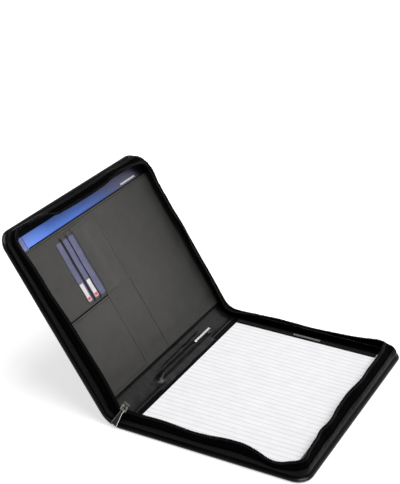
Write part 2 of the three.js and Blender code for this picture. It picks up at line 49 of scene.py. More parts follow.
# ------------------------------------------------------------------ dimensions
LENGTH, PANEL_BACK, PANEL_FRONT, BEND, RADIUS, THICK = 340.0, 248.5, 252.3, math.radians(55.6), 34.0, 5.0
CORNER, TOP_CORNER, GAP = 20.0, 36.0, 0.3
HALF = RADIUS * BEND / 2
FORE_BACK, FORE_FRONT, SIDE = HALF + PANEL_BACK, HALF + PANEL_FRONT, LENGTH / 2
LINING_TOP = THICK + GAP + 1.2
CREASE = 21.0
INSET = 3.8  # foot of the band, from the cover's edge
SHARE = 0.36
PEN_S, PEN_R, PEN_Y0, PEN_Y1 = 9.0, 4.0, -60.5, 83.5
POCKET_U, POCKET_V = (4.5, 218.5), (-158.0, 158.0)
SMALL_U, SMALL_V = (8.4, 112.3), (-150.0, -53.5)
FOLDER_U, FOLDER_V = (26.5, 236.5), (-149.5, 147.5)
CARD_U = (118.7, 204.3)
CARDS = [(-94.2, -83.2), (-80.2, -70.2), (-69.4, -57.4)]  # card edge, slot edge
SLOT_U, SLOT_END = (114.5, 212.0), 1.5
PAD_X, PAD_Y, PAD_H = (-106.8, 103.2), (-164.0, 133.0), 6.0
STRIP_X, STRIP_Y = (-106.4, 100.0), (122.6, 131.6)
PLATE_X, PLATE_Y = (-21.0, 19.0), (124.9, 129.3)

BACK_BAND = [
    ("near", 0, 4, 21.5), ("near", 20, 3, 22), ("near", 48, -5, 23.8), ("near", 68, -5, 24.2),
    ("near", 95, -7, 23.8), ("near", 115, -8, 22.6), ("near", 138, -7, 23.6), ("near", 166, -4, 26.4),
    ("near", 188, -6, 26), ("near", 205, -10, 22), ("near", 218, -14, 16.5), ("near", 231, -14, 17.5),
    ("near", 243, -8, 22), ("fore", -148, 9, 26), ("fore", -136, 12, 27), ("fore", -115, 15, 27),
    ("fore", -96, 21, 27), ("fore", -77, 15, 27), ("fore", -34, 23, 27), ("fore", 3, 25, 27),
    ("fore", 27, 16, 27), ("fore", 67, 18, 27), ("fore", 95, 19, 27), ("fore", 125, 24, 27),
    ("fore", 146, 37, 27), ("turn", 0.5, 46, 27), ("far", 244, 39, 27), ("far", 230, 39, 27), ("far", 217, 43, 27),
    ("far", 202, 47, 27), ("far", 188, 50, 27), ("far", 174, 51, 27), ("far", 145, 55, 27),
    ("far", 114, 55, 27), ("far", 84, 53, 27), ("far", 68, 55, 26.6), ("far", 53, 58, 26),
    ("far", 38, 63, 25), ("far", 22, 67, 23.5), ("far", 0, 66, 22),
]
FRONT_BAND = [
    ("near", 0, 4, 21.5), ("near", 29, 8, 23), ("near", 58, 4, 25.5), ("near", 88, -1, 26.5),
    ("near", 108, -3, 27), ("near", 129, -4, 27), ("near", 156, -8, 27), ("near", 178, -12, 27),
    ("near", 199, -12, 27), ("near", 220, -15, 27), ("near", 243, -18, 27), ("near", 255, -17, 27),
    ("near", 261.5, -12, 27), ("near", 268, -6, 27), ("fore", -145, -1, 27),
    ("fore", -121, 3, 27), ("fore", -102, 7, 27), ("fore", -84, 21, 27), ("fore", -66, 24, 27),
    ("fore", -43, 26, 27), ("fore", -19, 27, 27), ("fore", 5, 27, 27), ("fore", 31, 25, 27),
    ("fore", 53, 19, 27), ("fore", 72, 15, 27), ("fore", 84, 17, 27), ("fore", 120, 27, 27),
    ("fore", 134, 34, 27), ("fore", 146, 43, 27), ("far", 246, 55, 27), ("far", 238, 57, 27), ("far", 222, 57, 27),
    ("far", 206, 57, 27), ("far", 189, 58, 27), ("far", 173, 59, 27), ("far", 135, 52, 27),
    ("far", 112, 57, 27), ("far", 59, 58, 26), ("far", 22, 64, 24), ("far", 0, 66, 22),
]


def place(s, n, v):
    """Points of the unrolled case, in metres."""
    s, n, v = np.broadcast_arrays(*(np.asarray(k, float) for k in (s, n, v)))
    a = np.clip((HALF - s) / RADIUS, 0, BEND)
    flat = np.maximum(s - HALF, 0)
    u = np.maximum(-s - HALF, 0)
    x = -PANEL_BACK / 2 + flat - (RADIUS - n) * np.sin(a) - u * np.cos(a)
    z = RADIUS - (RADIUS - n) * np.cos(a) + u * np.sin(a)
    return np.stack([x, v, z], -1) * MM


def fore_s(u):
    """The station of a point u up the front half."""
    return -HALF - u


def back_s(x):
    """The station of a point at x on the back half."""
    return x + PANEL_BACK / 2 + HALF


def ease(x, lo, hi):
    t = np.clip((np.asarray(x, float) - lo) / (hi - lo), 0, 1)
    return t * t * (3 - 2 * t)


def wave(x, y, seed, size):
    """Smooth random surface of two variables, about -1 to 1."""
    rng = np.random.default_rng(seed)
    total = np.zeros(np.broadcast(x, y).shape)
    for octave in range(3):
        for _ in range(4):
            a = rng.uniform(0, 2 * math.pi)
            k = 2 * math.pi / (size * rng.uniform(0.7, 1.4) / (1.9 ** octave))
            total = total + np.sin(k * (np.cos(a) * x + np.sin(a) * y) + rng.uniform(0, 6.28)) * 0.55 ** octave
    return total / 4.5


# --------------------------------------------------------------------- meshes
def link(obj):
    bpy.context.scene.collection.objects.link(obj)
    return obj


def mesh_piece(name, verts, faces, material, smooth=True, uv=None, merge=0.0):
    me = bpy.data.meshes.new(name)
    me.from_pydata(np.asarray(verts).reshape(-1, 3).tolist(), [], [list(map(int, f)) for f in faces])
    if uv is not None:
        layer = me.uv_layers.new(name="UVMap")
        loops = np.empty(len(me.loops), dtype=np.int32)
        me.loops.foreach_get("vertex_index", loops)
        layer.data.foreach_set("uv", np.asarray(uv, float).reshape(-1, 2)[loops].ravel())
    me.materials.append(material)
    if merge:
        import bmesh
        bm = bmesh.new()
        bm.from_mesh(me)
        bmesh.ops.remove_doubles(bm, verts=bm.verts, dist=merge)
        bmesh.ops.dissolve_degenerate(bm, dist=1e-7, edges=bm.edges)
        bmesh.ops.recalc_face_normals(bm, faces=bm.faces)
        bm.to_mesh(me)
        bm.free()
    me.polygons.foreach_set("use_smooth", [smooth] * len(me.polygons))
    me.update()
    return link(bpy.data.objects.new(name, me))


def quads(ni, nj, offset=0, wrap=False, flip=False):
    i, j = np.meshgrid(np.arange(ni - 1), np.arange(nj if wrap else nj - 1), indexing="ij")
    a = i * nj + j
    b = i * nj + (j + 1) % nj
    f = np.stack([a, b, b + nj, a + nj], -1).reshape(-1, 4) + offset
    return f[:, ::-1] if flip else f


def stations(lo, hi, step, fine, extra=()):
    """Places from lo to hi: fine gives distances from both ends, then about step apart."""
    reach = fine[-1]
    mid = max(1, int(round((hi - lo - 2 * reach) / step)))
    if hi - lo <= 2 * reach:
        k = [f for f in fine if f < (hi - lo) / 2 - 0.2]
        out = [lo + f for f in k] + [(lo + hi) / 2] + [hi - f for f in k]
    else:
        out = [lo + f for f in fine] + [hi - f for f in fine]
        out += list(np.linspace(lo + reach, hi - reach, mid + 1)[1:-1])
    out += [e for e in extra if lo < e < hi]
    out = sorted(set(round(o, 4) for o in out))
    return np.array(out)


FINE = [0, 0.05, 0.18, 0.4, 0.7, 1.0, 1.4, 1.8, 2.2, 2.6, 3.0, 3.4, 3.9, 4.6, 6.0]
BARE = [0, 0.04, 0.12, 0.3, 0.6, 1.2, 2.5]


def edge_distance(s, v, s0, s1, v0, v1, r):
    """Distance in from the edge of a rounded rectangle. r: one radius or four, at
    (s0, v0), (s0, v1), (s1, v0), (s1, v1)."""
    r = (r,) * 4 if np.isscalar(r) else r
    d = np.minimum(np.minimum(s - s0, s1 - s), np.minimum(v - v0, v1 - v))
    for (cs, sd), (cv, vd), rad in (
        ((s0, 1), (v0, 1), r[0]), ((s0, 1), (v1, -1), r[1]),
        ((s1, -1), (v0, 1), r[2]), ((s1, -1), (v1, -1), r[3]),
    ):
        if rad > 0:
            ps, pv = cs + sd * rad - s, cv + vd * rad - v
            inside = (ps * sd > 0) & (pv * vd > 0)
            d = np.where(inside, rad - np.hypot(ps, pv), d)
    return np.maximum(d, 0)


def slab(name, s_range, v_range, top, thick, material, radius=0, step=4.0, fine=FINE,
         edge=None, extra_s=(), extra_v=(), flat_under=None, uv_scale=None):
    """A closed sheet over a rounded rectangle of the unrolled case, its upper face
    at top(s, v, d) with d the distance from the edge, its rim rounded."""
    s0, s1 = s_range
    v0, v1 = v_range
    r = (radius,) * 4 if np.isscalar(radius) else radius
    ss = stations(s0, s1, step, fine, extra_s)
    for end, sign, rad in ((s0, 1, max(r[0], r[1])), (s1, -1, max(r[2], r[3]))):
        if rad > 0:
            turn = np.linspace(0, math.pi / 2, 14)
            ring = end + sign * rad * (1 - np.cos(turn))
            keep = (ss < s0 + rad + 0.3) if sign > 0 else (ss > s1 - rad - 0.3)
            near = ss[keep & (np.abs(ss - end) < fine[-1] + 0.1)]
            ss = np.concatenate([ss[~keep], ring, near])
    ss = np.unique(np.round(ss, 3))
    low, high = np.full_like(ss, v0), np.full_like(ss, v1)
    for end, sign, rad, which in (
        (s0, 1, r[0], 0), (s0, 1, r[1], 1), (s1, -1, r[2], 0), (s1, -1, r[3], 1),
    ):
        if rad > 0:
            k = np.clip(rad - np.abs(ss - end), 0, rad)
            draw = rad - np.sqrt(np.maximum(rad * rad - k * k, 0))
            if which == 0:
                low = np.maximum(low, v0 + draw)
            else:
                high = np.minimum(high, v1 - draw)
    base = stations(v0, v1, step, fine, extra_v)
    frac_mid = (base - v0) / (v1 - v0)
    V = low[:, None] + (high - low)[:, None] * frac_mid[None, :]
    for j, b in enumerate(base):
        from_low, from_high = b - v0, v1 - b
        if from_low <= fine[-1]:
            V[:, j] = low + from_low
        elif from_high <= fine[-1]:
            V[:, j] = high - from_high
    S = np.broadcast_to(ss[:, None], V.shape)
    d = edge_distance(S, V, s0, s1, v0, v1, r)
    d[0, :] = d[-1, :] = 0
    d[:, 0] = d[:, -1] = 0
    e = edge if edge is not None else thick / 2
    round_ = np.sqrt(np.clip(1 - (1 - np.clip(d / e, 0, 1)) ** 2, 0, 1))
    up = top(S, V, d)
    mid = up - thick / 2
    hi_n = mid + thick / 2 * round_
    lo_n = mid - thick / 2 * round_
    if flat_under is not None:
        lo_n = np.where(d > e, flat_under, lo_n)
    shape = V.shape
    P = np.concatenate([place(S, hi_n, V).reshape(-1, 3), place(S, lo_n, V).reshape(-1, 3)])
    f = np.concatenate([quads(*shape), quads(*shape, offset=V.size, flip=True)])
    uv = None
    if uv_scale:
        uv = np.concatenate([np.stack([S, V], -1).reshape(-1, 2)] * 2) * MM
    return mesh_piece(name, P, f, material, uv=uv, merge=1e-6)


def tube(points, radius, sides=10, closed=False, cap=True, scale=None):
    """Verts and faces of a tube along points, in millimetres already placed."""
    P = np.asarray(points, float)
    n = len(P)
    T = np.gradient(P, axis=0)
    T /= np.maximum(np.linalg.norm(T, axis=1, keepdims=True), 1e-12)
    ref = np.array([0.3, 0.2, 0.93])
    A = np.cross(T, ref)
    A /= np.linalg.norm(A, axis=1, keepdims=True)
    B = np.cross(T, A)
    ang = np.linspace(0, 2 * math.pi, sides, endpoint=False)
    rad = radius * (np.ones(n) if scale is None else np.asarray(scale))
    ring = P[:, None, :] + rad[:, None, None] * (
        A[:, None, :] * np.cos(ang)[None, :, None] + B[:, None, :] * np.sin(ang)[None, :, None]
    )
    verts = ring.reshape(-1, 3)
    faces = [list(f) for f in quads(n, sides, wrap=True)]
    if cap:
        faces.append(list(range(sides))[::-1])
        faces.append(list(range((n - 1) * sides, n * sides)))
    return verts, faces


def along(points, pitch):
    """Points and directions each pitch along a polyline."""
    P = np.asarray(points, float)
    seg = np.linalg.norm(np.diff(P, axis=0), axis=1)
    dist = np.concatenate([[0], np.cumsum(seg)])
    count = max(2, int(dist[-1] / pitch))
    at = (np.arange(count) + 0.5) * dist[-1] / count
    Q = np.stack([np.interp(at, dist, P[:, k]) for k in range(3)], -1)
    Q2 = np.stack([np.interp(np.minimum(at + 0.2 * MM, dist[-1]), dist, P[:, k]) for k in range(3)], -1)
    Q1 = np.stack([np.interp(np.maximum(at - 0.2 * MM, 0), dist, P[:, k]) for k in range(3)], -1)
    D = Q2 - Q1
    return Q, D / np.maximum(np.linalg.norm(D, axis=1, keepdims=True), 1e-12), at


def stitch_mesh(points, normals, pitch=3.4, length=2.5, radius=0.26, sink=0.12, lift=0.16):
    """Short thread stitches along a line, each arched out of the surface."""
    P = np.asarray(points, float)
    N = np.asarray(normals, float)
    seg = np.linalg.norm(np.diff(P, axis=0), axis=1)
    dist = np.concatenate([[0], np.cumsum(seg)])
    count = max(1, int(dist[-1] / (pitch * MM)))
    gap = dist[-1] / count
    prof = [(-0.5, -1.2, 0.55), (-0.4, 0.1, 0.95), (0.0, 1.0, 1.0), (0.4, 0.1, 0.95), (0.5, -1.2, 0.55)]
    sides = 6
    ang = np.linspace(0, 2 * math.pi, sides, endpoint=False)
    verts, faces = [], []

    def at(x):
        x = min(max(x, 0), dist[-1])
        return (
            np.array([np.interp(x, dist, P[:, k]) for k in range(3)]),
            np.array([np.interp(x, dist, N[:, k]) for k in range(3)]),
        )

    for i in range(count):
        mid = (i + 0.5) * gap
        p0, nn = at(mid)
        a, _ = at(mid - 0.4 * MM)
        b, _ = at(mid + 0.4 * MM)
        t = b - a
        t /= max(np.linalg.norm(t), 1e-12)
        nn = nn - t * (nn @ t)
        nn /= max(np.linalg.norm(nn), 1e-12)
        side = np.cross(t, nn)
        base = len(verts)
        for x, up, r in prof:
            q, _ = at(mid + x * length * MM)
            c = q + nn * MM * (up * lift if up > 0 else up * sink)
            for g in ang:
                verts.append(c + r * radius * MM * (nn * math.cos(g) + side * math.sin(g)))
        for k in range(len(prof) - 1):
            for j in range(sides):
                w = base + k * sides
                faces.append([w + j, w + (j + 1) % sides, w + sides + (j + 1) % sides, w + sides + j])
        faces.append([base + j for j in range(sides)][::-1])
        faces.append([base + (len(prof) - 1) * sides + j for j in range(sides)])
    return np.array(verts), faces


def join_parts(parts):
    verts, faces, n = [], [], 0
    for v, f in parts:
        verts.append(np.asarray(v).reshape(-1, 3))
        faces += [[int(k) + n for k in q] for q in f]
        n += len(verts[-1])
    return np.concatenate(verts), faces


def surface_line(s, v, n):
    """A line on the case and its normals, from arrays of s, v and n."""
    s, v, n = np.broadcast_arrays(*(np.asarray(k, float) for k in (s, v, n)))
    P = place(s, n, v)
    Q = place(s, n + 1, v)
    return P, (Q - P) / MM


# ------------------------------------------------------------------ materials
def material(name):
    m = bpy.data.materials.new(name)
    m.use_nodes = True
    nt = m.node_tree
    return m, nt, nt.nodes["Principled BSDF"]


class Net:
    """Small helper to add and join shader nodes."""

    def __init__(self, nt):
        self.nt = nt

    def add(self, kind, inputs=None, **props):
        n = self.nt.nodes.new(kind)
        for k, v in props.items():
            setattr(n, k, v)
        for k, v in (inputs or {}).items():
            if hasattr(v, "is_output"):
                self.nt.links.new(v, n.inputs[k])
            else:
                n.inputs[k].default_value = v
        return n

    def math(self, op, a, b=None, c=None):
        inputs = {0: a}
        if b is not None:
            inputs[1] = b
        if c is not None:
            inputs[2] = c
        return self.add("ShaderNodeMath", inputs, operation=op).outputs[0]

    def span(self, value, lo, hi, to_lo, to_hi, smooth=False):
        n = self.add("ShaderNodeMapRange", {"Value": value, "From Min": lo, "From Max": hi,
                                            "To Min": to_lo, "To Max": to_hi})
        if smooth:
            n.interpolation_type = "SMOOTHSTEP"
        return n.outputs["Result"]

    def mix(self, fac, a, b):
        n = self.add("ShaderNodeMix", data_type="RGBA")
        for key, v in ((0, fac), (6, a), (7, b)):
            if hasattr(v, "is_output"):
                self.nt.links.new(v, n.inputs[key])
            else:
                n.inputs[key].default_value = v
        return n.outputs[2]

    def noise(self, vec, scale, detail=3.0, rough=0.55):
        return self.add("ShaderNodeTexNoise", {"Vector": vec, "Scale": scale, "Detail": detail,
                                               "Roughness": rough}).outputs["Fac"]

    def join(self, a, b):
        self.nt.links.new(a, b)


def rgb(r, g, b):
    """Linear colour from 0 to 255 screen values."""
    def lin(c):
        c /= 255
        return c / 12.92 if c <= 0.04045 else ((c + 0.055) / 1.055) ** 2.4
    return (lin(r), lin(g), lin(b), 1.0)


def leather(name, dark, light, roughness=0.5, grain=1.1, depth=0.10, specular=0.4, sheen=0.0,
            creases=0.5, coat=0.0, painted_shade=None):
    """Embossed leather: cell grain of about grain mm, pores, soft creases, worn tone, and optional painted shade."""
    m, nt, bsdf = material(name)
    net = Net(nt)
    pos = net.add("ShaderNodeTexCoord").outputs["Object"]
    warp = net.add("ShaderNodeTexNoise", {"Vector": pos, "Scale": 260.0, "Detail": 2.0})
    shift = net.add("ShaderNodeVectorMath", {0: warp.outputs["Color"], 1: (0.0011, 0.0011, 0.0011)}, operation="MULTIPLY").outputs[0]
    vec = net.add("ShaderNodeVectorMath", {0: pos, 1: shift}, operation="ADD").outputs[0]
    cell = net.add("ShaderNodeTexVoronoi", {"Vector": vec, "Scale": 1000.0 / grain}, feature="DISTANCE_TO_EDGE").outputs["Distance"]
    pebble = net.span(cell, 0.0, 0.34, 0.0, 1.0, True)
    fine = net.noise(pos, 2600.0, 2.0)
    folds = net.noise(pos, 45.0, 5.0, 0.6)
    tone = net.noise(pos, 11.0, 4.0, 0.6)
    blot = net.noise(pos, 90.0, 3.0, 0.5)
    height = net.math("ADD", net.math("MULTIPLY", pebble, 0.7), net.math("MULTIPLY", fine, 0.3))
    height = net.math("ADD", height, net.math("MULTIPLY", folds, creases))
    bump = net.add("ShaderNodeBump", {"Height": height, "Strength": 0.55, "Distance": depth * MM})
    net.join(bump.outputs["Normal"], bsdf.inputs["Normal"])
    shade = net.math("ADD", net.math("MULTIPLY", net.span(tone, 0.3, 0.7, 0, 1), 0.6), net.math("MULTIPLY", net.span(blot, 0.3, 0.7, 0, 1), 0.25))
    shade = net.math("ADD", shade, net.math("MULTIPLY", pebble, 0.15))
    tint = net.mix(shade, dark, light)
    if painted_shade:
        # Painted shade: the colour darkens towards the far end of the pockets and low down towards the spine, in place
        # of the fall of light.
        xyz = net.add("ShaderNodeSeparateXYZ", {0: pos}).outputs
        along = net.span(xyz[1], painted_shade[0], painted_shade[1], painted_shade[2], painted_shade[3], True)
        along = net.math("MULTIPLY", along, net.span(xyz[1], 0.132, 0.155, 1.0, 2.0, True))
        rise = net.span(xyz[2], 0.03, 0.1, 0.72, 1.0, True)
        scale = net.add("ShaderNodeCombineXYZ", {k: net.math("MULTIPLY", along, rise) for k in range(3)}).outputs[0]
        tint = net.add("ShaderNodeVectorMath", {0: tint, 1: scale}, operation="MULTIPLY").outputs[0]
    net.join(tint, bsdf.inputs["Base Color"])
    rough = net.span(net.math("ADD", net.math("MULTIPLY", fine, 0.4), net.math("MULTIPLY", tone, 0.6)), 0.3, 0.7, roughness - 0.06, roughness + 0.07)
    net.join(rough, bsdf.inputs["Roughness"])
    bsdf.inputs["Specular IOR Level"].default_value = specular
    bsdf.inputs["Coat Weight"].default_value = coat
    bsdf.inputs["Coat Roughness"].default_value = 0.35
    if sheen:
        bsdf.inputs["Sheen Weight"].default_value = sheen
        bsdf.inputs["Sheen Roughness"].default_value = 0.5
    return m


def woven(name, dark, light, pitch=0.55, roughness=0.85, specular=0.2):
    """Herringbone zip tape: ribs along the tape, crossed threads. Uses the strip's own map."""
    m, nt, bsdf = material(name)
    net = Net(nt)
    uv = net.add("ShaderNodeTexCoord").outputs["UV"]
    parts = net.add("ShaderNodeSeparateXYZ", {0: uv})
    k = 2 * math.pi * 1000 / pitch
    a = net.math("SINE", net.math("MULTIPLY", parts.outputs[0], k))
    zig = net.math("ABSOLUTE", net.math("SUBTRACT", net.math("FRACT", net.math("MULTIPLY", parts.outputs[1], 1000 / 3.0)), 0.5))
    lean = net.math("ADD", net.math("MULTIPLY", parts.outputs[0], k * 0.5), net.math("MULTIPLY", zig, 12.0))
    b = net.math("SINE", lean)
    h = net.math("ADD", net.math("MULTIPLY", a, 0.4), net.math("MULTIPLY", b, 0.6))
    pos = net.add("ShaderNodeTexCoord").outputs["Object"]
    fuzz = net.noise(pos, 3000.0, 2.0)
    h = net.math("ADD", h, net.math("MULTIPLY", fuzz, 0.6))
    bump = net.add("ShaderNodeBump", {"Height": h, "Strength": 0.5, "Distance": 0.12 * MM})
    net.join(bump.outputs["Normal"], bsdf.inputs["Normal"])
    net.join(net.mix(net.span(h, -0.8, 1.2, 0, 1), dark, light), bsdf.inputs["Base Color"])
    bsdf.inputs["Roughness"].default_value = roughness
    bsdf.inputs["Specular IOR Level"].default_value = specular
    return m


def metal(name, colour, roughness, scratch=0.12, direction=(1, 40, 1)):
    m, nt, bsdf = material(name)
    net = Net(nt)
    pos = net.add("ShaderNodeTexCoord").outputs["Object"]
    mapped = net.add("ShaderNodeMapping", {"Vector": pos, "Scale": direction}).outputs[0]
    lines = net.noise(mapped, 900.0, 4.0, 0.7)
    spots = net.noise(pos, 320.0, 4.0, 0.6)
    bump = net.add("ShaderNodeBump", {"Height": lines, "Strength": scratch, "Distance": 0.02 * MM})
    net.join(bump.outputs["Normal"], bsdf.inputs["Normal"])
    dark = tuple(c * 0.72 for c in colour[:3]) + (1,)
    net.join(net.mix(net.span(spots, 0.35, 0.75, 0, 1), dark, colour), bsdf.inputs["Base Color"])
    net.join(net.span(spots, 0.3, 0.7, roughness - 0.05, roughness + 0.1), bsdf.inputs["Roughness"])
    bsdf.inputs["Metallic"].default_value = 1.0
    return m


def plastic(name, dark, light, roughness=0.3, specular=0.5, coat=0.0):
    m, nt, bsdf = material(name)
    net = Net(nt)
    pos = net.add("ShaderNodeTexCoord").outputs["Object"]
    haze = net.noise(pos, 120.0, 4.0, 0.6)
    scuff = net.noise(pos, 1500.0, 3.0, 0.6)
    net.join(net.mix(net.span(haze, 0.3, 0.7, 0, 1), dark, light), bsdf.inputs["Base Color"])
    net.join(net.span(scuff, 0.3, 0.7, roughness - 0.04, roughness + 0.08), bsdf.inputs["Roughness"])
    bump = net.add("ShaderNodeBump", {"Height": scuff, "Strength": 0.15, "Distance": 0.02 * MM})
    net.join(bump.outputs["Normal"], bsdf.inputs["Normal"])
    bsdf.inputs["Specular IOR Level"].default_value = specular
    bsdf.inputs["Coat Weight"].default_value = coat
    bsdf.inputs["Coat Roughness"].default_value = 0.15
    return m


EXTERIOR = leather("exterior_leather_m", rgb(22, 23, 27), rgb(32, 34, 40), 0.4, 1.0, 0.09, 0.4, creases=0.35)
# A darker copy of the outer leather for the rim, as painted shade.
RIM_SHADE_M = leather("rim_leather_painted_shade_m", rgb(8, 8, 10), rgb(16, 17, 20), 0.42, 1.0, 0.09, 0.14, creases=0.35)
# The interior leather carries painted shade, darker towards the far end of the pockets and towards the spine.
INTERIOR = leather("interior_leather_m", rgb(50, 49, 47), rgb(64, 63, 61), 0.46, 1.0, 0.10, 0.34, creases=0.5,
                   painted_shade=(0.0, 0.13, 1.0, 0.5))
# Pale leather for the rim's seam bead, a painted highlight.
SEAM_HIGHLIGHT_M = leather("rim_seam_painted_highlight_m", rgb(78, 78, 78), rgb(98, 98, 98), 0.45, 0.8, 0.05, 0.3)
BINDING_M = leather("binding_leather_m", rgb(24, 24, 22), rgb(34, 33, 31), 0.5, 0.8, 0.08, 0.15)
# The spine's leather is the interior leather darkened to near black, a painted shade for the hollow of the spine.
SPINE_SHADE_M = leather("spine_leather_painted_shade_m", rgb(6, 6, 5), rgb(12, 12, 11), 0.29, 1.0, 0.10, 0.3, creases=0.6)
# Near-black copy of the interior leather, a painted shade, for the linings and the thin dark pieces round the pockets
# and the spine.
LINING_SHADE_M = leather("lining_painted_shade_m", rgb(3, 3, 3), rgb(8, 8, 7), 0.5, 1.0, 0.08, 0.05, creases=0.5)
GUSSET = leather("gusset_leather_m", rgb(2, 2, 2), rgb(6, 6, 6), 0.42, 0.9, 0.10, 0.07, creases=1.0)
STRIP_M = leather("strip_leather_m", rgb(6, 6, 6), rgb(12, 12, 12), 0.5, 0.8, 0.08, 0.08)
TAPE = woven("zip_tape_m", rgb(1, 1, 1), rgb(4, 4, 4), specular=0.01)
TEETH = plastic("zip_teeth_m", rgb(3, 3, 3), rgb(6, 6, 6), 0.45, 0.08)
THREAD = leather("thread_m", rgb(10, 10, 10), rgb(20, 20, 20), 0.7, 0.3, 0.04, 0.06)
BRIGHT = metal("bright_metal_m", (0.9, 0.88, 0.84, 1), 0.22)
SLIDER_M = metal("slider_metal_m", (0.17, 0.165, 0.15, 1), 0.18)
DULL = metal("dull_metal_m", (0.26, 0.26, 0.255, 1), 0.42, 0.3)
PULL_M = metal("pull_metal_m", (0.02, 0.019, 0.017, 1), 0.4, 0.3)
PEN_M = plastic("pen_barrel_m", rgb(12, 12, 14), rgb(18, 18, 20), 0.25, 0.5, 0.3)


def paper_material():
    m, nt, bsdf = material("paper_m")
    net = Net(nt)
    pos = net.add("ShaderNodeTexCoord").outputs["Object"]
    parts = net.add("ShaderNodeSeparateXYZ", {0: pos})
    rows = net.math("FRACT", net.math("DIVIDE", net.math("ADD", parts.outputs[1], 0.5), 0.009))
    off = net.math("ABSOLUTE", net.math("SUBTRACT", rows, 0.5))
    line = net.span(off, 0.0, 0.075, 1.0, 0.0, True)
    up = net.add("ShaderNodeNewGeometry").outputs["Normal"]
    facing = net.span(net.add("ShaderNodeSeparateXYZ", {0: up}).outputs[2], 0.5, 0.9, 0.0, 1.0)
    line = net.math("MULTIPLY", line, facing)
    fibre = net.noise(pos, 900.0, 4.0, 0.65)
    mott = net.noise(pos, 60.0, 3.0, 0.5)
    ink = net.math("MULTIPLY", line, net.span(fibre, 0.3, 0.7, 0.75, 1.0))
    sheet = net.mix(net.span(mott, 0.3, 0.7, 0, 1), rgb(223, 223, 225), rgb(229, 229, 231))
    # The block's side shows its sheets.
    leaf = net.noise(net.add("ShaderNodeMapping", {"Vector": pos, "Scale": (6, 6, 5200)}).outputs[0], 1.0, 3.0, 0.7)
    side = net.mix(net.span(leaf, 0.35, 0.65, 0, 1), rgb(170, 170, 174), rgb(222, 222, 225))
    body = net.mix(facing, side, sheet)
    net.join(net.mix(ink, body, rgb(170, 172, 178)), bsdf.inputs["Base Color"])
    bump = net.add("ShaderNodeBump", {"Height": fibre, "Strength": 0.25, "Distance": 0.03 * MM})
    net.join(bump.outputs["Normal"], bsdf.inputs["Normal"])
    bsdf.inputs["Roughness"].default_value = 0.75
    bsdf.inputs["Specular IOR Level"].default_value = 0.25
    return m


def folder_material():
    m, nt, bsdf = material("folder_m")
    net = Net(nt)
    pos = net.add("ShaderNodeTexCoord").outputs["Object"]
    parts = net.add("ShaderNodeSeparateXYZ", {0: pos})
    cloud = net.noise(pos, 18.0, 3.0, 0.5)
    y = net.math("ADD", parts.outputs[1], net.math("MULTIPLY", net.math("SUBTRACT", cloud, 0.5), 0.02))
    t = net.span(y, -0.1495, 0.1475, 0.0, 1.0)
    ramp = net.add("ShaderNodeValToRGB", {"Fac": t})
    stops = [(0.0, rgb(114, 144, 228)), (0.08, rgb(98, 138, 232)), (0.2, rgb(74, 124, 226)),
             (0.42, rgb(64, 114, 214)), (0.58, rgb(62, 94, 174)), (0.7, rgb(60, 74, 122)), (0.86, rgb(70, 72, 98)),
             (0.915, rgb(58, 58, 80)), (0.945, rgb(16, 16, 30)), (1.0, rgb(12, 12, 22))]
    el = ramp.color_ramp.elements
    el[0].position, el[0].color = stops[0]
    el[1].position, el[1].color = stops[-1]
    for p, c in stops[1:-1]:
        e = el.new(p)
        e.color = c
    scuff = net.noise(pos, 700.0, 4.0, 0.6)
    net.join(ramp.outputs["Color"], bsdf.inputs["Base Color"])
    net.join(net.span(scuff, 0.3, 0.7, 0.28, 0.4), bsdf.inputs["Roughness"])
    bump = net.add("ShaderNodeBump", {"Height": cloud, "Strength": 0.2, "Distance": 0.3 * MM})
    net.join(bump.outputs["Normal"], bsdf.inputs["Normal"])
    bsdf.inputs["Coat Weight"].default_value = 0.15
    bsdf.inputs["Coat Roughness"].default_value = 0.25
    bsdf.inputs["Specular IOR Level"].default_value = 0.35
    return m


PAPER, FOLDER = paper_material(), folder_material()
FOLDER_SPINE = plastic("folder_spine_m", rgb(112, 112, 164), rgb(134, 132, 182), 0.35, 0.4, 0.15)
FOLDER_LINE = plastic("folder_line_m", rgb(36, 38, 88), rgb(48, 50, 104), 0.4, 0.3)
CARD_M = plastic("card_m", rgb(80, 81, 108), rgb(96, 96, 123), 0.42, 0.35)
LABEL = plastic("card_label_m", rgb(196, 190, 188), rgb(212, 206, 204), 0.45, 0.3)
LABEL_BAR = plastic("card_label_bar_m", rgb(196, 78, 62), rgb(208, 92, 76), 0.45, 0.3)


# ---------------------------------------------------------------------- pieces
def case(obj, slot_name, *nodes):
    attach(obj, "case")
    if nodes:
        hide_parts(*nodes)
    return obj


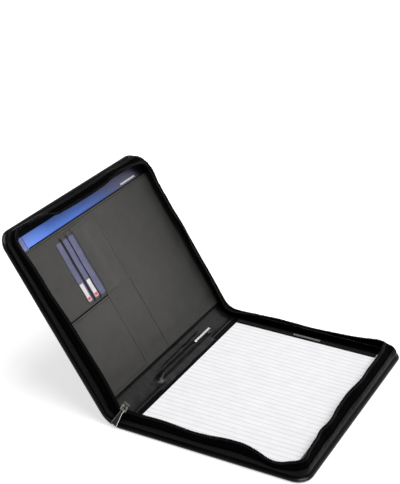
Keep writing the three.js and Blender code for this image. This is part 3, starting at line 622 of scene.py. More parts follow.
# Outer cover: one leather wrap on stiff board, its rim with a welt and a sewn groove.
def cover_mesh():
    fine = [0, 0.04, 0.15, 0.35, 0.65, 1.0, 1.4, 1.8, 2.2, 2.6, 3.0, 3.4, 3.8, 4.3, 5.0, 6.5, 9.0, 14.0]
    bends = list(np.linspace(-HALF - 6, HALF + 6, 26))
    ss = stations(-FORE_FRONT, FORE_BACK, 9.0, fine, bends)
    turn = np.linspace(0, math.pi / 2, 26)
    ring = CORNER * (1 - np.cos(turn))
    wide = TOP_CORNER * (1 - np.cos(turn))
    off = np.where(ss < 0, ss + FORE_FRONT, FORE_BACK - ss)
    keep = off < np.where(ss < 0, TOP_CORNER, CORNER) + 0.2
    near = ss[keep & (off < 9.1)]
    ss = np.unique(np.round(np.concatenate([ss[~keep], -FORE_FRONT + ring, -FORE_FRONT + wide, FORE_BACK - ring, near]), 3))
    ss = ss[np.concatenate([[True], np.diff(ss) > 0.02])]
    off = np.where(ss < 0, ss + FORE_FRONT, FORE_BACK - ss)

    def drawn(r):
        return r - np.sqrt(np.maximum(r ** 2 - np.clip(r - off, 0, r) ** 2, 0))

    low = SIDE - drawn(CORNER)
    high = SIDE - np.where(ss < 0, drawn(TOP_CORNER), drawn(CORNER))
    base = stations(-SIDE, SIDE, 8.0, fine)
    w = np.where(base[None, :] < 0, low[:, None], high[:, None])
    V = np.where(
        (SIDE - np.abs(base))[None, :] <= fine[-1],
        np.sign(base)[None, :] * (w - (SIDE - np.abs(base))[None, :]),
        base[None, :] / SIDE * w,
    )
    # Between the fine rows the spacing is even, so that the rows never cross.
    inner = np.abs(base) < SIDE - fine[-1] - 1e-6
    reach = w - fine[-1]
    V[:, inner] = (base[None, :] / (SIDE - fine[-1]) * reach)[:, inner]
    S = np.broadcast_to(ss[:, None], V.shape)
    d = edge_distance(S, V, -FORE_FRONT, FORE_BACK, -SIDE, SIDE, (CORNER, TOP_CORNER, CORNER, CORNER))
    d[0, :] = d[-1, :] = 0
    d[:, 0] = d[:, -1] = 0
    r = 2.4
    bull = np.sqrt(np.clip(1 - (1 - np.clip(d / r, 0, 1)) ** 2, 0, 1))
    groove = 0.75 * np.exp(-((d - 2.75) / 0.42) ** 2) - 0.30 * np.exp(-((d - 4.0) / 0.6) ** 2)
    wob = 0.18 * wave(S, V, 11, 38.0)
    inside = THICK / 2 + THICK / 2 * bull - groove + wob * np.exp(-((d - 2.5) / 3.0) ** 2)
    inside = np.minimum(inside, THICK + 0.28)
    # The front half's outer face is softly crowned; the back half's lies flat.
    crown = 1.1 * ease(d, 2, 30) * ease(-S, HALF, HALF + 60)
    dent = 0.25 * wave(S, V, 12, 120.0) * ease(d, 6, 30) * ease(-S, HALF * 0.5, HALF + 20)
    outside = THICK / 2 - THICK / 2 * bull - crown + dent
    outside = np.where(S > HALF - 2, np.maximum(outside, 0), outside)
    shape = V.shape
    P = np.concatenate([place(S, inside, V).reshape(-1, 3), place(S, outside, V).reshape(-1, 3)])
    f = np.concatenate([quads(*shape), quads(*shape, offset=V.size, flip=True)])
    return P, f


P, F = cover_mesh()
cover = case(mesh_piece("cover_leather", P, F, EXTERIOR, merge=1e-6), "exterior_leather", "outer_cover")
# The rim's faces, within 3 mm of the edge, take the darker copy of the leather as painted shade.
cover.data.materials.append(RIM_SHADE_M)
foot_of = Vector(place(-HALF, 0.0, 0.0))
rise_of = Vector((-math.cos(BEND), 0, math.sin(BEND)))
for face in cover.data.polygons:
    c = face.center
    reach = min(FORE_BACK - HALF - (c.x / MM + PANEL_BACK / 2), FORE_FRONT - HALF - (c - foot_of).dot(rise_of) / MM, SIDE - abs(c.y) / MM)
    face.material_index = 1 if reach < 3.0 else 0

# Stitches in the rim's groove.
def rim_line(inset, n):
    def turned(fore, wide):
        pts = []
        r = CORNER - inset
        for a in np.linspace(-math.pi / 2, 0, 14):
            pts.append((fore - inset - r + r * math.cos(a), -SIDE + inset + r + r * math.sin(a)))
        r = wide - inset
        for a in np.linspace(0, math.pi / 2, 20):
            pts.append((fore - inset - r + r * math.cos(a), SIDE - inset - r + r * math.sin(a)))
        return pts

    right = turned(FORE_BACK, CORNER)
    left = [(-s, v) for s, v in reversed(turned(FORE_FRONT, TOP_CORNER))]
    bends = np.linspace(HALF + 1, -HALF - 1, 12)
    far = [(s, SIDE - inset) for s in bends]
    nearer = [(s, -SIDE + inset) for s in bends[::-1]]
    loop = nearer + right + far + left + [nearer[0]]
    a = np.array(loop)
    return surface_line(a[:, 0], a[:, 1], np.full(len(a), n))


def dense(P, N, step=1.0):
    seg = np.linalg.norm(np.diff(P, axis=0), axis=1)
    dist = np.concatenate([[0], np.cumsum(seg)])
    at = np.arange(0, dist[-1], step * MM)
    return (np.stack([np.interp(at, dist, P[:, k]) for k in range(3)], -1),
            np.stack([np.interp(at, dist, N[:, k]) for k in range(3)], -1))


line, norm = dense(*rim_line(2.75, THICK - 0.42))
case(mesh_piece("rim_stitches", *stitch_mesh(line, norm, 3.6, 2.7, 0.24), THREAD), "exterior_leather")

# Seam bead of the two leathers round the rim's side, its pale leather a painted highlight.
seam_line, _ = dense(*rim_line(0.05, 2.1), 3.0)
case(mesh_piece("rim_seam", *tube(np.concatenate([seam_line, seam_line[:1]]), 0.4 * MM, 8), SEAM_HIGHLIGHT_M), "exterior_leather")


# Linings, in a near-black copy of the interior leather as painted shade.
def flat_top(level, seed, amp=0.25, size=60.0):
    return lambda s, v, d: level + amp * wave(s, v, seed, size) * ease(d, 1, 12) - 0.15 * np.exp(-(d / 1.0) ** 2)


LIN_V = SIDE - 8
case(slab("lining_back", (CREASE + GAP, FORE_BACK - 8), (-LIN_V, LIN_V), flat_top(LINING_TOP, 21), 1.2, LINING_SHADE_M,
          (0, 0, 16, 16), 6.0), "interior_leather", "back_lining")
case(slab("lining_front", (-FORE_FRONT + 8, -CREASE - GAP), (-LIN_V, LIN_V), flat_top(LINING_TOP, 22), 1.2, LINING_SHADE_M,
          (16, 32, 0, 0), 6.0), "interior_leather", "front_lining")


def spine_top(s, v, d):
    edge_roll = 0.5 * np.exp(-((np.abs(s) - CREASE + 2.2) / 1.5) ** 2)
    dimple = 0.45 * wave(s, v, 23, 34.0) + 0.35 * wave(s * 2.2, v * 0.6, 24, 40.0)
    return LINING_TOP + edge_roll + dimple * ease(d, 1.0, 8)


case(slab("lining_spine", (-CREASE, CREASE), (-LIN_V, LIN_V), spine_top, 1.2, SPINE_SHADE_M, 0, 2.5),
     "interior_leather", "spine_lining")

case(slab("crease_binding", (-CREASE - 0.1, -CREASE + 2.9), (-LIN_V, LIN_V), lambda s, v, d: spine_top(s, v, d) + 0.16, 0.5,
          LINING_SHADE_M, 0, 6.0, BARE, edge=0.2), "interior_leather")
# Turned edges where the linings meet the spine, with their stitches.
rows = np.linspace(-LIN_V + 1, LIN_V - 1, 240)
parts = []
for s, n in ((CREASE + 6.2, LINING_TOP + 0.28), (-CREASE + 2.4, LINING_TOP + 0.72), (CREASE - 2.6, LINING_TOP + 0.7)):
    a, b = surface_line(np.full(240, s), rows, np.full(240, n))
    parts.append(stitch_mesh(a, b, 3.3, 2.4, 0.22))
case(mesh_piece("spine_stitches", *join_parts(parts), THREAD), "interior_leather")
welt, wf = tube(surface_line(np.full(240, CREASE + 8.8), rows, LINING_TOP + 0.35 + 0.12 * np.sin(rows / 17))[0], 0.75 * MM, 10)
case(mesh_piece("lining_welt", welt, wf, LINING_SHADE_M), "interior_leather")

# --------------------------------------------------------- front half's pockets
def doc_top(s, v):
    u = -s - HALF
    over = (ease(v, FOLDER_V[0] - 7, FOLDER_V[0] + 2) * (1 - ease(v, FOLDER_V[1] - 4, FOLDER_V[1] + 6))
            * ease(u, FOLDER_U[0] - 9, FOLDER_U[0] + 4))
    sag = 0.35 * wave(s, v, 31, 75.0) + 0.22 * wave(s, v, 32, 28.0)
    hem = np.minimum(np.minimum(v - POCKET_V[0], POCKET_V[1] - v), u - POCKET_U[0])
    mouth = np.clip(1 - (POCKET_U[1] - u) / 26.0, 0, 1) ** 2
    lift = mouth * (0.9 + 0.7 * np.sin(v / 41.0 + 0.6) + 0.35 * np.sin(v / 17.0))
    return LINING_TOP + 1.25 + 1.35 * over + sag * ease(hem, 2, 16) + lift * ease(hem, 1, 14)


def hem_groove(x, at=3.0, depth=0.32, width=0.55):
    return depth * np.exp(-((x - at) / width) ** 2)


def doc_face(s, v, d):
    u = -s - HALF
    top = doc_top(s, v)
    for x in (v - POCKET_V[0], POCKET_V[1] - v, POCKET_U[1] - u):
        top = top - hem_groove(x)
    # seam B, from the mouth to the crease
    return top - 0.5 * np.exp(-((v - SLOT_END + 0.6) / 0.7) ** 2) * (1 - ease(u, SLOT_U[0] - 3, SLOT_U[0] + 3))


case(slab("pocket_document", (fore_s(POCKET_U[1]), fore_s(POCKET_U[0])), POCKET_V, doc_face, 1.0, INTERIOR,
          (2, 2, 0, 0), 3.6, extra_v=np.arange(SLOT_END - 3, SLOT_END + 6, 0.5)), "interior_leather", "document_pocket")


def small_top(s, v):
    u = -s - HALF
    belly = ease(np.minimum(v - SMALL_V[0], SMALL_V[1] - v), 1, 26) * ease(u - SMALL_U[0], 0, 30)
    mouth = np.clip(1 - (SMALL_U[1] - u) / 22.0, 0, 1) ** 2
    lift = mouth * (0.7 + 0.5 * np.sin((v + 30) / 19.0)) * ease(np.minimum(v - SMALL_V[0], SMALL_V[1] - v), 1, 10)
    return doc_top(s, v) + 1.05 + 0.7 * belly + lift


def small_face(s, v, d):
    u = -s - HALF
    top = small_top(s, v)
    for x in (v - SMALL_V[0], SMALL_V[1] - v, SMALL_U[1] - u):
        top = top - hem_groove(x, 2.8)
    return top


case(slab("pocket_small", (fore_s(SMALL_U[1]), fore_s(SMALL_U[0])), SMALL_V, small_face, 1.0, INTERIOR,
          (1.5, 1.5, 0, 0), 3.4), "interior_leather", "small_pocket")


# Painted shade: a thin dark sheet under the small pocket's mouth, reaching 1.3 mm past it, stands in for the shadowed
# gap there.
def under_small(s, v, d):
    return doc_top(s, v) + 0.45


case(slab("small_pocket_mouth_shade", (fore_s(SMALL_U[1] + 1.3), fore_s(SMALL_U[1] - 8)), (SMALL_V[0] + 1.5, SMALL_V[1] - 1.0), under_small,
          0.3, LINING_SHADE_M, 0.6, 3.4, BARE, edge=0.1), "interior_leather")


# Painted shade: a thin dark sheet under the document pocket's mouth, reaching 1.3 mm past it, stands in for the
# shadowed gap over the folder.
def under_mouth(s, v, d):
    return doc_top(s, v) - 0.95


case(slab("document_pocket_mouth_shade", (fore_s(POCKET_U[1] + 1.3), fore_s(POCKET_U[1] - 8)), (FOLDER_V[0] + 11.5, POCKET_V[1] - 2), under_mouth,
          0.3, LINING_SHADE_M, 0.6, 3.6, BARE, edge=0.1), "interior_leather")


def boxed(u, v, k, soft=5.0, long=20.0):
    """1 over card k, falling to 0 outside it."""
    lo = CARDS[k][0]
    return (ease(u, CARD_U[0] - soft, CARD_U[0]) * (1 - ease(u, CARD_U[1], CARD_U[1] + soft))
            * ease(v, lo - soft, lo) * (1 - ease(v, lo + 54, lo + 54 + long)))


LAYER = 0.52


def slot_top(s, v, k):
    """Upper face of slot sheet k (1 to 3), or of what lies under slot 1 for 0."""
    u = -s - HALF
    # Beyond the cards the sheets lie close together.
    top = doc_top(s, v) + LAYER * k * (1 - 0.9 * ease(v, -42, -20))
    for j in range(k):
        top = top + LAYER * boxed(u, v, j)
    return top


for k in range(3):
    card_v, edge_v = CARDS[k]
    card_face = (lambda kk: lambda s, v, d: slot_top(s, v, kk) + LAYER)(k)
    card = slab(f"card_plate_{k + 1}", (fore_s(CARD_U[1]), fore_s(CARD_U[0])), (card_v, card_v + 54), card_face,
                0.48, CARD_M, 3.2, 3.0, BARE, edge=0.16)
    case(card, "card", f"card_{k + 1}")

    def slot_face(s, v, d, kk=k, e=edge_v):
        u = -s - HALF
        top = slot_top(s, v, kk + 1)
        top = top - hem_groove(v - e, 2.2, 0.28, 0.5)
        lift = np.clip(1 - (v - e) / 9.0, 0, 1) ** 2 * (0.25 + 0.3 * np.sin(u / 19.0 + kk * 2))
        top = top + lift * ease(np.minimum(u - SLOT_U[0], SLOT_U[1] - u), 1, 12)
        return top - 0.5 * np.exp(-((SLOT_END - v - 1.8) / 0.7) ** 2)

    end = 0.9 * (2 - k)
    case(slab(f"slot_sheet_{k + 1}", (fore_s(SLOT_U[1] - end), fore_s(SLOT_U[0] + end)), (edge_v, SLOT_END - end * 0.5), slot_face,
              0.5, INTERIOR, (1.2, 1.2, 0.5, 0.5), 2.6, extra_v=np.arange(SLOT_END - 5, SLOT_END, 0.5)),
         "interior_leather", f"card_slot_{k + 1}")
    if k < 2:
        bound = (lambda f: lambda s, v, d: f(s, v, d) + 0.12)(slot_face)
        case(slab(f"slot_binding_{k + 1}", (fore_s(CARD_U[1] + 3.5), fore_s(SLOT_U[0] + end + 1)), (edge_v - 0.15, edge_v + (2.6, 0.7)[k]), bound,
                  0.4, BINDING_M, 0.3, 2.6, BARE, edge=0.12), "interior_leather")

# Plain labels on the first two cards: a pale patch with a thin bar on one side.
for k, (lo, hi) in enumerate(((-93.4, -86.4), (-78.8, -71.4))):
    u0, u1 = CARD_U[0] + 2.0, CARD_U[0] + 26.5
    face = (lambda kk, up: lambda s, v, d: slot_top(s, v, kk) + LAYER + up)(k, 0.07)
    case(slab(f"card_label_{k + 1}", (fore_s(u1), fore_s(u0)), (lo, hi), face, 0.12, LABEL, 0.8, 3.0, BARE, edge=0.05), "card")
    bar = (lambda kk, up: lambda s, v, d: slot_top(s, v, kk) + LAYER + up)(k, 0.12)
    case(slab(f"card_label_bar_{k + 1}", (fore_s(u0 + 5.2), fore_s(u0 + 0.9)), (lo + 0.7, hi - 0.7), bar, 0.1, LABEL_BAR, 0.5, 2.0, BARE, edge=0.05), "card")

# Pocket stitches.
parts = []


def stitch_along(s, v, n):
    a, b = surface_line(s, v, n)
    a, b = dense(a, b)
    parts.append(stitch_mesh(a, b, 3.2, 2.35, 0.2))


for v in (POCKET_V[0] + 3.0, POCKET_V[1] - 3.0):
    s = fore_s(np.linspace(POCKET_U[0] + 1, POCKET_U[1] - 1, 160))
    stitch_along(s, np.full(160, v), doc_top(s, np.full(160, v)) - 0.22)
v = np.linspace(POCKET_V[0] + 2, POCKET_V[1] - 2, 220)
s = np.full(220, fore_s(POCKET_U[1] - 3.0))
stitch_along(s, v, doc_top(s, v) - 0.22)
for vv in (SMALL_V[0] + 2.8, SMALL_V[1] - 2.8):
    s = fore_s(np.linspace(SMALL_U[0] + 1, SMALL_U[1] - 0.8, 90))
    stitch_along(s, np.full(90, vv), small_top(s, np.full(90, vv)) - 0.22)
v = np.linspace(SMALL_V[0] + 1.5, SMALL_V[1] - 1.5, 90)
s = np.full(90, fore_s(SMALL_U[1] - 2.8))
stitch_along(s, v, small_top(s, v) - 0.22)
s = fore_s(np.linspace(POCKET_U[0] + 1, SLOT_U[0] - 1, 90))
stitch_along(s, np.full(90, SLOT_END - 0.6), doc_top(s, np.full(90, SLOT_END - 0.6)) - 0.4)
s = fore_s(np.linspace(SLOT_U[0] + 1, SLOT_U[1] - 1, 90))
stitch_along(s, np.full(90, SLOT_END - 1.8), slot_top(s, np.full(90, SLOT_END - 1.8), 3) - 0.4)
for k in range(3):
    s = fore_s(np.linspace(SLOT_U[0] + 2.5, SLOT_U[1] - 2.5, 90))
    vv = np.full(90, CARDS[k][1] + 2.2)
    stitch_along(s, vv, slot_top(s, vv, k + 1) - 0.12)
case(mesh_piece("pocket_stitches", *join_parts(parts), THREAD), "interior_leather")

# Folder: a limp blue cover over a few sheets, with a rolled pale spine at one end.
def folder_top(s, v, d):
    u = -s - HALF
    end = np.clip(1 - (v - FOLDER_V[0]) / 16.0, 0, 1) ** 2
    return LINING_TOP + 1.5 + 0.25 * wave(s, v, 41, 90.0) + 0.5 * end + 0.5 * ease(u, 200, 231) * (1 + np.sin(v / 47.0)) * 0.5


case(slab("folder_cover", (fore_s(FOLDER_U[1]), fore_s(FOLDER_U[0])), (FOLDER_V[0] + 1.5, FOLDER_V[1]), folder_top, 0.9,
          FOLDER, (5, 4, 2, 2), 4.5, BARE), "folder", "document_folder")
fold = lambda s, v, d: folder_top(s, v, d) + 0.14
case(slab("folder_fold", (fore_s(FOLDER_U[1] - 0.6), fore_s(FOLDER_U[0] + 2)), (FOLDER_V[0] + 8.9, FOLDER_V[0] + 10.1), fold, 0.24,
          FOLDER_LINE, 0.3, 4.0, BARE, edge=0.08), "folder")
case(slab("folder_bar", (fore_s(224.5), fore_s(222.0)), (86.0, 124.0), fold, 0.2, LABEL, 0.5, 4.0, BARE, edge=0.06), "folder")
uu = np.linspace(FOLDER_U[0] + 1, FOLDER_U[1] + 0.2, 70)
sect = []
for a in np.linspace(math.pi * 0.98, math.pi * 0.02, 13):
    sect.append((FOLDER_V[0] + 4.6 - 5.2 * math.cos(math.pi - a), 0.35 + 1.7 * math.sin(a)))
sect += [(FOLDER_V[0] + 9.4, 0.1), (FOLDER_V[0] - 0.4, 0.1)]
sect = np.array(sect)
flat = 0.5 + 0.5 * ease(uu, POCKET_U[1] - 7, POCKET_U[1] + 1)
shrink = flat * np.sqrt(np.clip(1 - np.clip((uu - (FOLDER_U[1] - 6)) / 6.4, 0, 1) ** 2.4, 0.02, 1))
SP = np.stack([
    place(fore_s(np.full(len(sect), u)), LINING_TOP + 0.35 + sect[:, 1] * k,
          FOLDER_V[0] + 4.6 + (sect[:, 0] - FOLDER_V[0] - 4.6) * (0.55 + 0.45 * k))
    for u, k in zip(uu, shrink)
])
nf = len(sect)
faces = [list(f) for f in quads(len(uu), nf, wrap=True)] + [list(range(nf))[::-1], list(range((len(uu) - 1) * nf, len(uu) * nf))]
case(mesh_piece("folder_spine", SP.reshape(-1, 3), faces, FOLDER_SPINE), "folder")

# ------------------------------------------------------------- pad and its strip
PAD_TOP = LINING_TOP + GAP + PAD_H


def pad_face(s, v, d):
    return PAD_TOP + 0.18 * wave(s, v, 51, 140.0) * ease(d, 2, 30) + 0.35 * ease(s - back_s(60), 0, 40) * ease(-v - 100, 0, 56)


pad = slab("pad_block", (back_s(PAD_X[0]), back_s(PAD_X[1])), PAD_Y, pad_face, PAD_H, PAPER, 0.6, 9.0,
           [0, 0.03, 0.1, 0.3, 1.0, 3.0], edge=0.22)
case(pad, "paper", "pad")


def strip_face(s, v, d):
    return PAD_TOP + 1.35 + 0.12 * wave(s, v, 52, 40.0) * ease(d, 0.5, 4) - hem_groove(d, 1.6, 0.22, 0.4)


case(slab("strip_band", (back_s(STRIP_X[0]), back_s(STRIP_X[1])), STRIP_Y, strip_face, 1.1, STRIP_M, 0.8, 3.0,
          [0, 0.05, 0.18, 0.4, 0.8, 1.2, 1.6, 2.0, 2.6]), "strip_leather", "pad_strip")
parts = []
for vv in (STRIP_Y[0] + 1.6, STRIP_Y[1] - 1.6):
    ss_ = np.linspace(back_s(STRIP_X[0]) + 2, back_s(STRIP_X[1]) - 2, 200)
    a, b = surface_line(ss_, np.full(200, vv), np.full(200, PAD_TOP + 1.2))
    parts.append(stitch_mesh(a, b, 3.0, 2.2, 0.18))
case(mesh_piece("strip_stitches", *join_parts(parts), THREAD), "strip_leather")


def plate_face(s, v, d):
    return PAD_TOP + 2.15 - 0.28 * ease(d, 0.55, 0.9)


case(slab("strip_plate_face", (back_s(PLATE_X[0]), back_s(PLATE_X[1])), PLATE_Y, plate_face, 0.8, DULL, 1.0, 3.0,
          [0, 0.04, 0.12, 0.3, 0.5, 0.62, 0.75, 0.9, 1.2], edge=0.2), "dull_metal", "strip_plate")

# ------------------------------------------------------------------ pen pocket
PEN_A = (HALF - PEN_S) / RADIUS


def pen_rise(s, v):
    real = (s - PEN_S) * (RADIUS - 11) / RADIUS
    d = np.abs(real)
    core = np.where(d < 8.6, np.cos(np.clip(math.pi * d / 17.2, 0, math.pi / 2)) ** 2, 0)
    tent = 9.75 * core ** 0.92
    folds = 1.7 * np.exp(-((real + 12.4 + 0.012 * (v - 10)) / 2.1) ** 2) + 1.2 * np.exp(-((real - 9.9) / 1.9) ** 2)
    tip = ease(v, -66, -48)
    mouth = 1 + 0.05 * ease(v, 55, 80)
    return tent * tip * mouth + folds * ease(v, -62, -30) * (1 - 0.5 * ease(v, 60, 80))


def pen_face(s, v, d):
    wr = 0.16 * wave(s, v, 61, 16.0) * ease(d, 0.5, 5)
    # Its edges are pared thin and glued down, except at the mouth.
    rim = np.minimum(np.minimum(s + 16.5, 24.2 - s), v + 76.0)
    return spine_top(s, v, 10.0) + 0.08 + 0.75 * ease(rim, 0.0, 11.0) + pen_rise(s, v) * ease(d, 0.0, 3.5) + wr


case(slab("pocket_pen", (-16.5, 24.2), (-76.0, 76.5), pen_face, 0.9, SPINE_SHADE_M, 0, 0.9,
          [0, 0.05, 0.18, 0.4, 0.7, 1.0, 1.5, 2.2]), "interior_leather", "pen_pocket")

# Pen: a turned barrel, and its sprung clip.
pen_axis = Matrix.Translation(Vector(place(PEN_S, LINING_TOP + GAP, 0))) @ Matrix.Rotation(PEN_A, 4, "Y")


def turned(profile, sides=40):
    """Verts and faces of a solid turned about local Y, rows of (radius, y) in mm."""
    ang = np.linspace(0, 2 * math.pi, sides, endpoint=False)
    verts = [[r * math.cos(a), y, r * math.sin(a)] for r, y in profile for a in ang]
    n = len(profile)
    faces = [list(f)[::-1] for f in quads(n, sides, wrap=True)]
    faces.append(list(range(sides)))
    faces.append(list(range((n - 1) * sides, n * sides))[::-1])
    return np.array(verts), faces


def moved(verts, matrix, lift=(0, 0, 0)):
    out = []
    for x, y, z in np.asarray(verts):
        out.append(matrix @ Vector(((x + lift[0]) * MM, (y + lift[1]) * MM, (z + lift[2]) * MM)))
    return np.array([list(p) for p in out])


prof = [(0.25, PEN_Y0), (0.8, PEN_Y0 + 0.3), (1.0, PEN_Y0 + 3), (1.4, PEN_Y0 + 4), (2.6, PEN_Y0 + 14), (3.4, PEN_Y0 + 26),
        (3.85, PEN_Y0 + 44), (3.95, -2), (3.95, -1.6), (3.75, -1.5), (3.75, -0.6), (3.95, -0.5), (4.0, 20), (4.0, PEN_Y1 - 9),
        (3.7, PEN_Y1 - 8.9), (3.7, PEN_Y1 - 8.2), (4.0, PEN_Y1 - 8.1), (4.0, PEN_Y1 - 3.2), (3.6, PEN_Y1 - 1.2), (2.4, PEN_Y1 - 0.2), (0.3, PEN_Y1)]
v_, f_ = turned(prof)
case(mesh_piece("pen_body", moved(v_, pen_axis, (0, 0, PEN_R + 0.05)), f_, PEN_M), "pen_barrel", "pen")
clip_node = NODES["pen_clip"]
clip_node.data.materials.clear()
clip_node.data.materials.append(BRIGHT)
bev = clip_node.modifiers.new("edge", "BEVEL")
bev.width, bev.segments, bev.limit_method = 0.35 * MM, 3, "ANGLE"


# ----------------------------------------------------------------------- bands
def hermite(x, xk, yk):
    xk, yk = np.asarray(xk, float), np.asarray(yk, float)
    m = np.gradient(yk, xk)
    i = np.clip(np.searchsorted(xk, x) - 1, 0, len(xk) - 2)
    h = xk[i + 1] - xk[i]
    t = (x - xk[i]) / h
    return ((1 + 2 * t) * (1 - t) ** 2 * yk[i] + t * (1 - t) ** 2 * h * m[i]
            + t * t * (3 - 2 * t) * yk[i + 1] + t * t * (t - 1) * h * m[i + 1])


class Band:
    """The foot line of one half's band, with lean and height along it."""

    def __init__(self, table, sign, count=430):
        r, vs, sf = CORNER - INSET, SIDE - INSET, (FORE_BACK if sign > 0 else FORE_FRONT) - INSET
        rf = (CORNER if sign > 0 else TOP_CORNER) - INSET
        run, turn, far_run, far_turn = sf - r, math.pi / 2 * r, sf - rf, math.pi / 2 * rf
        fore = 2 * vs - r - rf
        first, second = run + turn, run + turn + fore
        self.total = second + far_turn + far_run
        where = {"near": lambda a: a, "fore": lambda a: first + a + vs - r, "far": lambda a: self.total - a,
                 "turn": lambda a: second + a * far_turn}
        tk = [where[k](a) for k, a, _, _ in table]
        t = np.linspace(0.05, self.total - 0.05, count)
        s, v = np.zeros(count), np.zeros(count)
        ns, nv = np.zeros(count), np.zeros(count)
        for i, x in enumerate(t):
            if x < run:
                s[i], v[i], ns[i], nv[i] = x, -vs, 0, 1
            elif x < first:
                a = (x - run) / r
                s[i], v[i], ns[i], nv[i] = run + r * math.sin(a), -vs + r - r * math.cos(a), -math.sin(a), math.cos(a)
            elif x < second:
                s[i], v[i], ns[i], nv[i] = sf, -vs + r + x - first, -1, 0
            elif x < second + far_turn:
                a = (x - second) / rf
                s[i], v[i], ns[i], nv[i] = far_run + rf * math.cos(a), vs - rf + rf * math.sin(a), -math.cos(a), -math.sin(a)
            else:
                s[i], v[i], ns[i], nv[i] = self.total - x, vs, 0, -1
        self.t, self.s, self.v, self.ns, self.nv = t, sign * s, v, sign * ns, nv
        self.lean = np.radians(hermite(t, tk, [r_[2] for r_ in table]))
        self.height = hermite(t, tk, [r_[3] for r_ in table])
        self.sign = sign
        seed = 70 if sign > 0 else 80
        self.seed = seed
        edge = np.minimum(t - run, first - t)
        edge2 = np.minimum(t - second, second + far_turn - t)
        self.corner = np.clip(np.maximum(edge, edge2) / 8 + 0.6, 0, 1)
        self.far_corner = ease(edge2, -22, 4)
        self.ends = np.minimum(t, self.total - t)
        # Where it leans in round a corner the free edge gathers into an easy curve.
        gather = np.clip(np.degrees(self.lean) / 30, 0, 1)
        self.spread = np.maximum(0.15 * ease(edge, -20, 0), gather * ease(edge2, -30, 0))
        self.kernels = {}

    def eased(self, P, frac):
        """Rows of points, drawn smoothly round the corners the more the higher they stand."""
        key = round(float(frac), 4)
        if key not in self.kernels:
            sigma = np.maximum(0.3, 8.0 * self.spread * min(1.0, key) ** 0.8 * ease(self.ends, 2, 40))
            w = np.exp(-0.5 * ((self.t[:, None] - self.t[None, :]) / sigma[:, None]) ** 2)
            self.kernels[key] = w / w.sum(1, keepdims=True)
        return self.kernels[key] @ P

    def at(self, across, frac):
        """Points at a share frac of the height, across in mm inward. Both may be arrays per row."""
        lam, H = self.lean, self.height
        # A round shoulder at the far corner, nearly straight elsewhere.
        a = 0.66 - (0.5 if self.sign < 0 else 0.36) * self.far_corner
        b = 2 * (1 - a)
        lb = np.where(np.abs(lam) < 1e-3, 1e-3, lam) * b
        la = np.where(np.abs(lam) < 1e-3, 1e-3, lam) * a
        inward = H / lb * (np.cos(la) - np.cos(la + lb * frac))
        up = H / lb * (np.sin(la + lb * frac) - np.sin(la))
        loc = la + lb * frac
        h = frac * H
        fold = (0.55 * wave(self.t, h * 1.4, self.seed, 30.0) + 0.3 * wave(self.t * 1.6, h, self.seed + 1, 17.0)) * np.sin(np.clip(frac, 0, 1) * math.pi * 0.8)
        pleat = self.corner * 0.5 * np.sin(self.t * 1.9) * np.exp(-((frac - 0.25) / 0.3) ** 2)
        belly = -0.9 * np.sin(np.clip(frac / SHARE, 0, 1) * math.pi)
        bulge = -0.8 * self.far_corner * np.sin(np.clip(frac, 0, 1) * math.pi) if self.sign > 0 else 0
        if self.sign < 0:
            bulge = -2.6 * np.exp(-((self.t - 17) / 9.0) ** 2) * np.sin(np.clip(frac / 0.8, 0, 1) * math.pi)
        ac = across + belly + fold + pleat + bulge
        n0 = THICK + GAP + 1.0 * np.maximum(0, np.sin(la))
        s = self.eased(self.s + self.ns * inward, frac)
        v = self.eased(self.v + self.nv * inward, frac)
        n = self.eased(n0 + up, frac)
        ns, nv = self.eased(self.ns, frac), self.eased(self.nv, frac)
        size = np.maximum(np.hypot(ns, nv), 1e-6)
        return place(s + ns / size * ac * np.cos(loc), n - ac * np.sin(loc), v + nv / size * ac * np.cos(loc))

    def loft(self, name, rows, mat, wide):
        """rows: (across, share of height, u) round a closed section."""
        R = [self.at(ac, fr) for ac, fr in rows]
        V = np.stack(R, 1)
        nt_, nr = V.shape[:2]
        faces = [list(f) for f in quads(nt_, nr, wrap=True)]
        faces += [list(range(nr))[::-1], list(range((nt_ - 1) * nr, nt_ * nr))]
        uv = np.stack([np.broadcast_to(self.t[:, None], (nt_, nr)),
                       np.broadcast_to(np.array([fr * wide for _, fr in rows])[None, :], (nt_, nr))], -1) * MM
        obj = mesh_piece(name, V.reshape(-1, 3), faces, mat, uv=uv)
        import bmesh
        bm = bmesh.new()
        bm.from_mesh(obj.data)
        bmesh.ops.recalc_face_normals(bm, faces=bm.faces)
        bm.to_mesh(obj.data)
        bm.free()
        return obj


def section(a0, a1, f0, f1, count, bead=0.0):
    """Closed rows round a strip from share f0 to f1, between across a0 and a1, rounded at its ends."""
    fr = np.linspace(f0, f1, count)
    mid, half = (a0 + a1) / 2, (a1 - a0) / 2
    out = []
    for i, f in enumerate(fr):
        w = half * (0.55 if i in (0, count - 1) else 1)
        w += bead * math.exp(-(((f1 - f) * 26 - 0.8) / 0.7) ** 2)
        out.append((mid - w, f))
    for i, f in list(enumerate(fr))[::-1]:
        w = half * (0.55 if i in (0, count - 1) else 1)
        w += bead * math.exp(-(((f1 - f) * 26 - 0.8) / 0.7) ** 2)
        out.append((mid + w, f))
    return out


